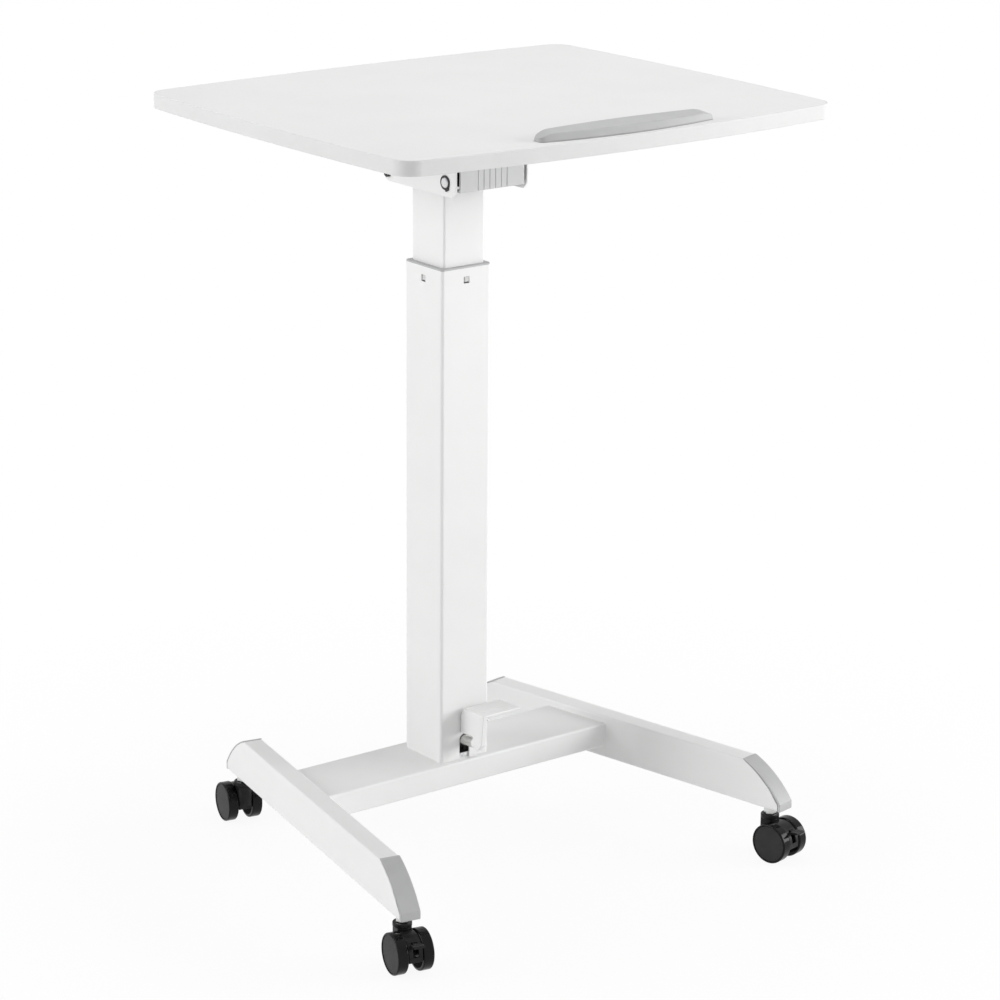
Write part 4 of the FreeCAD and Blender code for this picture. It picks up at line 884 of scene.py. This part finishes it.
def stem_shapes():
    """A hexagon collar with eased rims under the foot and the plain stem below it."""
    low, high, ease = FOOT_LOW - STEM_FLANGE, FOOT_LOW, STEM_EASE
    collar = [level(hexagon(STEM_FLANGE_R - i), z)
              for i, z in ((ease, low), (0, low + ease), (0, high - ease), (ease, high))]
    shank = [level(circle(STEM_R), z) for z in (NECK_TOP - STEM_DEPTH, low + ease)]
    return [skin(collar), skin(shank)]


def build_casters(hood_black, tread_black, face_black, web_black, zinc):
    """Four casters about their axles, set under the feet; the rear ones are turned to trail backwards."""
    tread, face, web = wheel_shapes()
    stems = []
    for side, name in ((-1, "left"), (1, "right")):
        for end, along, turn in (("front", STEM_FRONT, 0.0), ("rear", -STEM_REAR, math.pi)):
            label, place = end + "_" + name, (side, along, turn)
            housing = [on_caster(shape, *place) for shape in housing_shapes(end == "front")]
            make(label + "_hood", housing, label + "_caster", [label + "_housing"],
                 hood_black, ease=HOOD_EASE)
            for wheel, flip in (("_wheel_a", False), ("_wheel_b", True)):
                tyre, disc, back = (mirrored(shape) if flip else shape for shape in (tread, face, web))
                make(label + wheel + "_tread", [on_caster(tyre, *place)], label + wheel, [label + wheel],
                     tread_black)
                make(label + wheel + "_disc", [on_caster(disc, *place)], label + wheel, [],
                     face_black)
                make(label + wheel + "_web", [on_caster(back, *place)], label + wheel, [],
                     web_black)
            if end == "front":
                lever = [on_caster(shape, *place) for shape in brake_shapes()]
                make(label + "_brake_lever", lever, label + "_brake", [label + "_brake"],
                     hood_black, ease=HOOD_EASE)
            stems += [moved(shape, lambda points: on_foot(points, side, along)) for shape in stem_shapes()]
    make("caster_stems_skin", stems, "base", ["caster_stems"], zinc, crease=25)


def new_finish(name):
    """An empty node material and the parts that every finish uses: tree, shader and object coordinates."""
    material = bpy.data.materials.new(name)
    material.use_nodes = True
    tree = material.node_tree
    shader = tree.nodes["Principled BSDF"]
    coords = tree.nodes.new("ShaderNodeTexCoord").outputs["Object"]
    return material, tree, shader, coords


def noise(tree, coords, scale, detail=3.0, stretch=(1, 1, 1)):
    """Noise on object coordinates, in features per metre, stretched by a mapping where it is directional."""
    mapping = tree.nodes.new("ShaderNodeMapping")
    mapping.inputs["Scale"].default_value = stretch
    tree.links.new(coords, mapping.inputs["Vector"])
    texture = tree.nodes.new("ShaderNodeTexNoise")
    texture.inputs["Scale"].default_value = scale
    texture.inputs["Detail"].default_value = detail
    tree.links.new(mapping.outputs["Vector"], texture.inputs["Vector"])
    return texture.outputs["Fac"]


def spread(tree, value, low, high):
    """Maps the middle of a noise to a range of values."""
    node = tree.nodes.new("ShaderNodeMapRange")
    node.inputs["From Min"].default_value = 0.3
    node.inputs["From Max"].default_value = 0.7
    node.inputs["To Min"].default_value = low
    node.inputs["To Max"].default_value = high
    tree.links.new(value, node.inputs["Value"])
    return node.outputs["Result"]


def tint(tree, shader, value, first, second):
    """Base colour between two close tones, by a noise."""
    node = tree.nodes.new("ShaderNodeMix")
    node.data_type = "RGBA"
    node.inputs["A"].default_value = (*first, 1)
    node.inputs["B"].default_value = (*second, 1)
    tree.links.new(spread(tree, value, 0, 1), node.inputs["Factor"])
    tree.links.new(node.outputs["Result"], shader.inputs["Base Color"])


def relief(tree, shader, layers):
    """Bump layers one over another: (height, strength, depth in metres)."""
    normal = None
    for height, strength, depth in layers:
        node = tree.nodes.new("ShaderNodeBump")
        node.inputs["Strength"].default_value = strength
        node.inputs["Distance"].default_value = depth
        tree.links.new(height, node.inputs["Height"])
        if normal:
            tree.links.new(normal, node.inputs["Normal"])
        normal = node.outputs["Normal"]
    tree.links.new(normal, shader.inputs["Normal"])


def powder_coat():
    """White powder coat: a fine orange peel with faint cloudiness in tone and gloss."""
    material, tree, shader, coords = new_finish("white_powder_coat")
    tint(tree, shader, noise(tree, coords, 14), (0.845, 0.845, 0.842), (0.865, 0.865, 0.862))
    tree.links.new(spread(tree, noise(tree, coords, 60), 0.36, 0.46), shader.inputs["Roughness"])
    relief(tree, shader, [(noise(tree, coords, 900, 2), 0.25, 0.00006),
                          (noise(tree, coords, 260, 1), 0.2, 0.00008)])
    return material


def laminate():
    """White melamine laminate: matt pearl grain with barely mottled tone."""
    material, tree, shader, coords = new_finish("white_laminate_top")
    tint(tree, shader, noise(tree, coords, 9, 5), (0.800, 0.800, 0.798), (0.822, 0.822, 0.820))
    shader.inputs["Specular IOR Level"].default_value = 0.12
    tree.links.new(spread(tree, noise(tree, coords, 450, 4), 0.62, 0.74), shader.inputs["Roughness"])
    relief(tree, shader, [(noise(tree, coords, 2200, 2), 0.35, 0.00003),
                          (noise(tree, coords, 500, 3), 0.2, 0.00004)])
    return material


def edging():
    """White edge band: smoother than the top, with faint lines along the band from scraping."""
    material, tree, shader, coords = new_finish("white_edge_band")
    tint(tree, shader, noise(tree, coords, 25), (0.755, 0.755, 0.753), (0.775, 0.775, 0.773))
    lines = noise(tree, coords, 900, 2, (0.03, 0.03, 1))
    shader.inputs["Specular IOR Level"].default_value = 0.3
    tree.links.new(spread(tree, lines, 0.42, 0.47), shader.inputs["Roughness"])
    relief(tree, shader, [(lines, 0.03, 0.00003)])
    return material


def grey_moulding(name, first, second, gloss=(0.40, 0.54)):
    """Grey moulded plastic: spark-eroded texture and slightly uneven gloss; the grip's lighter grey is partly
    its own tone and partly painted light that lifts it out of the worktop's shade.
    """
    material, tree, shader, coords = new_finish(name)
    tint(tree, shader, noise(tree, coords, 40), first, second)
    tree.links.new(spread(tree, noise(tree, coords, 700, 3), *gloss), shader.inputs["Roughness"])
    relief(tree, shader, [(noise(tree, coords, 2600, 3), 0.4, 0.00004)])
    return material


def pale_moulding():
    """Pale grey acetal of the guides: smooth and waxy."""
    material, tree, shader, coords = new_finish("pale_guide_plastic")
    tint(tree, shader, noise(tree, coords, 120), (0.600, 0.602, 0.602), (0.640, 0.642, 0.642))
    tree.links.new(spread(tree, noise(tree, coords, 300), 0.30, 0.40), shader.inputs["Roughness"])
    relief(tree, shader, [(noise(tree, coords, 1800, 2), 0.2, 0.00003)])
    return material


def black_moulding(name, first, second, gloss, grain, shine):
    """Black nylon or polyurethane: tone, gloss range, grain and shine differ between hood, tread and disc."""
    material, tree, shader, coords = new_finish(name)
    shader.inputs["Specular IOR Level"].default_value = shine
    tint(tree, shader, noise(tree, coords, 90), first, second)
    tree.links.new(spread(tree, noise(tree, coords, 500, 4), *gloss), shader.inputs["Roughness"])
    relief(tree, shader, [(noise(tree, coords, grain, 3), 0.3, 0.00004)])
    return material


def zinc_plate():
    """Bright zinc-plated steel: drawn streaks in gloss and relief, a trace of blue and straw in tone."""
    material, tree, shader, coords = new_finish("bright_zinc_plate")
    tint(tree, shader, noise(tree, coords, 70), (0.62, 0.63, 0.65), (0.68, 0.67, 0.64))
    shader.inputs["Metallic"].default_value = 1.0
    streaks = noise(tree, coords, 1500, 3, (1, 1, 0.15))
    tree.links.new(spread(tree, streaks, 0.22, 0.38), shader.inputs["Roughness"])
    relief(tree, shader, [(streaks, 0.15, 0.00003)])
    return material


def black_oxide():
    """Blackened spring steel with a trace of oil sheen."""
    material, tree, shader, coords = new_finish("black_oxide_steel")
    tint(tree, shader, noise(tree, coords, 200), (0.020, 0.020, 0.022), (0.040, 0.039, 0.038))
    shader.inputs["Metallic"].default_value = 0.6
    tree.links.new(spread(tree, noise(tree, coords, 900, 4), 0.28, 0.45), shader.inputs["Roughness"])
    relief(tree, shader, [(noise(tree, coords, 2400, 3), 0.25, 0.00003)])
    return material


def bumper_rubber():
    """Soft dark rubber, matt and slightly dusty."""
    material, tree, shader, coords = new_finish("dark_bumper_rubber")
    tint(tree, shader, noise(tree, coords, 160, 4), (0.030, 0.030, 0.031), (0.055, 0.054, 0.053))
    tree.links.new(spread(tree, noise(tree, coords, 800, 3), 0.70, 0.85), shader.inputs["Roughness"])
    relief(tree, shader, [(noise(tree, coords, 2000, 3), 0.5, 0.00005)])
    return material


def paint_nodes(finishes):
    """Gives each CAD node that still shows the finish of its slot."""
    slots = {name: slot for slot, names in NODE_SLOTS.items() for name in names}
    for name, node in nodes.items():
        if node.hide_render:
            continue
        node.data.materials.clear()
        node.data.materials.append(finishes[slots.get(name, "white_steel")])


def studio():
    """White surroundings for the camera and for reflections, soft lamps round the desk, and a pale floor."""
    scene = bpy.context.scene
    world = bpy.data.worlds.new("studio")
    scene.world = world
    world.use_nodes = True
    tree = world.node_tree
    background = tree.nodes["Background"]
    background.inputs["Color"].default_value = (1, 1, 1, 1)
    path = tree.nodes.new("ShaderNodeLightPath")
    seen = seen_directly(tree, path)
    strength = tree.nodes.new("ShaderNodeMapRange")
    strength.inputs["To Min"].default_value = AMBIENT
    strength.inputs["To Max"].default_value = 1.0
    tree.links.new(seen, strength.inputs["Value"])
    tree.links.new(strength.outputs["Result"], background.inputs["Strength"])
    for name, place, aim, size, power in LAMPS:
        lamp = bpy.data.lights.new(name, "AREA")
        lamp.shape = "RECTANGLE"
        lamp.size, lamp.size_y = size
        lamp.energy = power
        holder = bpy.data.objects.new(name, lamp)
        holder.location = place
        holder.rotation_euler = (Vector(aim) - Vector(place)).to_track_quat("-Z", "Y").to_euler()
        scene.collection.objects.link(holder)


def seen_directly(tree, path):
    """1 for rays from the camera, mirror-like rays and rays through glass; 0 for the rest."""
    total = path.outputs["Is Camera Ray"]
    for kind in ("Is Glossy Ray", "Is Transmission Ray"):
        either = tree.nodes.new("ShaderNodeMath")
        either.operation = "MAXIMUM"
        tree.links.new(total, either.inputs[0])
        tree.links.new(path.outputs[kind], either.inputs[1])
        total = either.outputs["Value"]
    return total


def floor():
    """A pale floor that keeps a soft shadow near the desk and shows plain white farther away."""
    mesh = bpy.data.meshes.new("studio_floor")
    corners = level(FLOOR_HALF * np.array([(-1, -1), (1, -1), (1, 1), (-1, 1)]), 0.0)
    mesh.from_pydata(corners.tolist(), [], [(0, 1, 2, 3)])
    material, tree, shader, coords = new_finish("pale_floor")
    shader.inputs["Base Color"].default_value = (0.92, 0.92, 0.92, 1)
    shader.inputs["Roughness"].default_value = 0.9
    shader.inputs["Specular IOR Level"].default_value = 0.0
    away = tree.nodes.new("ShaderNodeVectorMath")
    away.operation = "LENGTH"
    tree.links.new(coords, away.inputs[0])
    share = tree.nodes.new("ShaderNodeMapRange")
    share.inputs["From Min"].default_value = SHADOW_NEAR
    share.inputs["From Max"].default_value = SHADOW_FAR
    share.inputs["To Min"].default_value = FLOOR_GLOW
    tree.links.new(away.outputs["Value"], share.inputs["Value"])
    shown = tree.nodes.new("ShaderNodeMath")
    shown.operation = "MULTIPLY"
    tree.links.new(share.outputs["Result"], shown.inputs[0])
    tree.links.new(seen_directly(tree, tree.nodes.new("ShaderNodeLightPath")), shown.inputs[1])
    glow = tree.nodes.new("ShaderNodeEmission")
    mix = tree.nodes.new("ShaderNodeMixShader")
    tree.links.new(shown.outputs["Value"], mix.inputs["Fac"])
    tree.links.new(shader.outputs["BSDF"], mix.inputs[1])
    tree.links.new(glow.outputs["Emission"], mix.inputs[2])
    tree.links.new(mix.outputs["Shader"], tree.nodes["Material Output"].inputs["Surface"])
    mesh.materials.append(material)
    piece = bpy.data.objects.new("studio_floor", mesh)
    bpy.context.scene.collection.objects.link(piece)


def photograph_camera():
    """The photograph's viewpoint: back, right and up axes from azimuth, pitch and roll."""
    cos_a, sin_a = math.cos(VIEW_AZIMUTH), math.sin(VIEW_AZIMUTH)
    cos_p, sin_p = math.cos(VIEW_PITCH), math.sin(VIEW_PITCH)
    back = Vector((-sin_a * cos_p, -cos_a * cos_p, sin_p))
    right = Vector((cos_a, -sin_a, 0))
    up = back.cross(right)
    cos_r, sin_r = math.cos(VIEW_ROLL), math.sin(VIEW_ROLL)
    across = cos_r * right + sin_r * up
    upward = cos_r * up - sin_r * right
    camera = bpy.data.cameras.new("photograph")
    camera.sensor_width = SENSOR
    camera.lens = LENS
    holder = bpy.data.objects.new("photograph", camera)
    facing = Matrix((across, upward, back)).transposed()
    holder.matrix_world = Matrix.LocRotScale(Vector(VIEW_PLACE), facing, None)
    bpy.context.scene.collection.objects.link(holder)
    bpy.context.scene.camera = holder


def build():
    """Makes every piece, paints what stays of the solids, and sets up the studio."""
    coat, top, band = powder_coat(), laminate(), edging()
    grey = grey_moulding("grey_moulding", (0.455, 0.457, 0.460), (0.485, 0.487, 0.490))
    # The grip's grey is lighter than the other mouldings partly as painted light, brightening it where the
    # worktop shades it.
    grip_grey_and_painted_light = grey_moulding("grip_grey_with_painted_light", (0.640, 0.642, 0.645), (0.670, 0.672, 0.675))
    stop_grey = grey_moulding("grey_stop", (0.435, 0.437, 0.440), (0.460, 0.462, 0.465), (0.42, 0.50))
    pale, zinc, black = pale_moulding(), zinc_plate(), black_oxide()
    hood = black_moulding("black_hood_nylon", SOFT_BLACK, NEAR_BLACK, (0.26, 0.36), 1500, 0.15)
    tread = black_moulding("black_tread", NEAR_BLACK, JET_BLACK, (0.10, 0.20), 1900, 0.16)
    face = black_moulding("dark_wheel_disc", DARK_GREY, SOFT_BLACK, (0.42, 0.55), 2300, 0.2)
    web = black_moulding("matt_wheel_web", NEAR_BLACK, JET_BLACK, (0.80, 0.90), 1700, 0.1)
    build_feet(coat, grey)
    build_beam(coat)
    build_outer_column(coat)
    build_collar(grey, pale)
    build_inner_column(coat)
    build_edge_band(band)
    build_book_stop(stop_grey)
    build_head(coat, zinc, black)
    build_screws(zinc)
    build_grip(grip_grey_and_painted_light)
    build_pedal(coat, zinc)
    build_casters(hood, tread, face, web, zinc)
    paint_nodes({"white_steel": coat, "white_laminate": top, "white_edging": band, "grey_plastic": grey,
                 "pale_plastic": pale, "black_plastic": hood, "zinc_steel": zinc, "black_steel": black,
                 "bumper_rubber": bumper_rubber()})
    studio()
    floor()
    photograph_camera()
    bpy.context.scene.view_settings.view_transform = "Standard"


build()
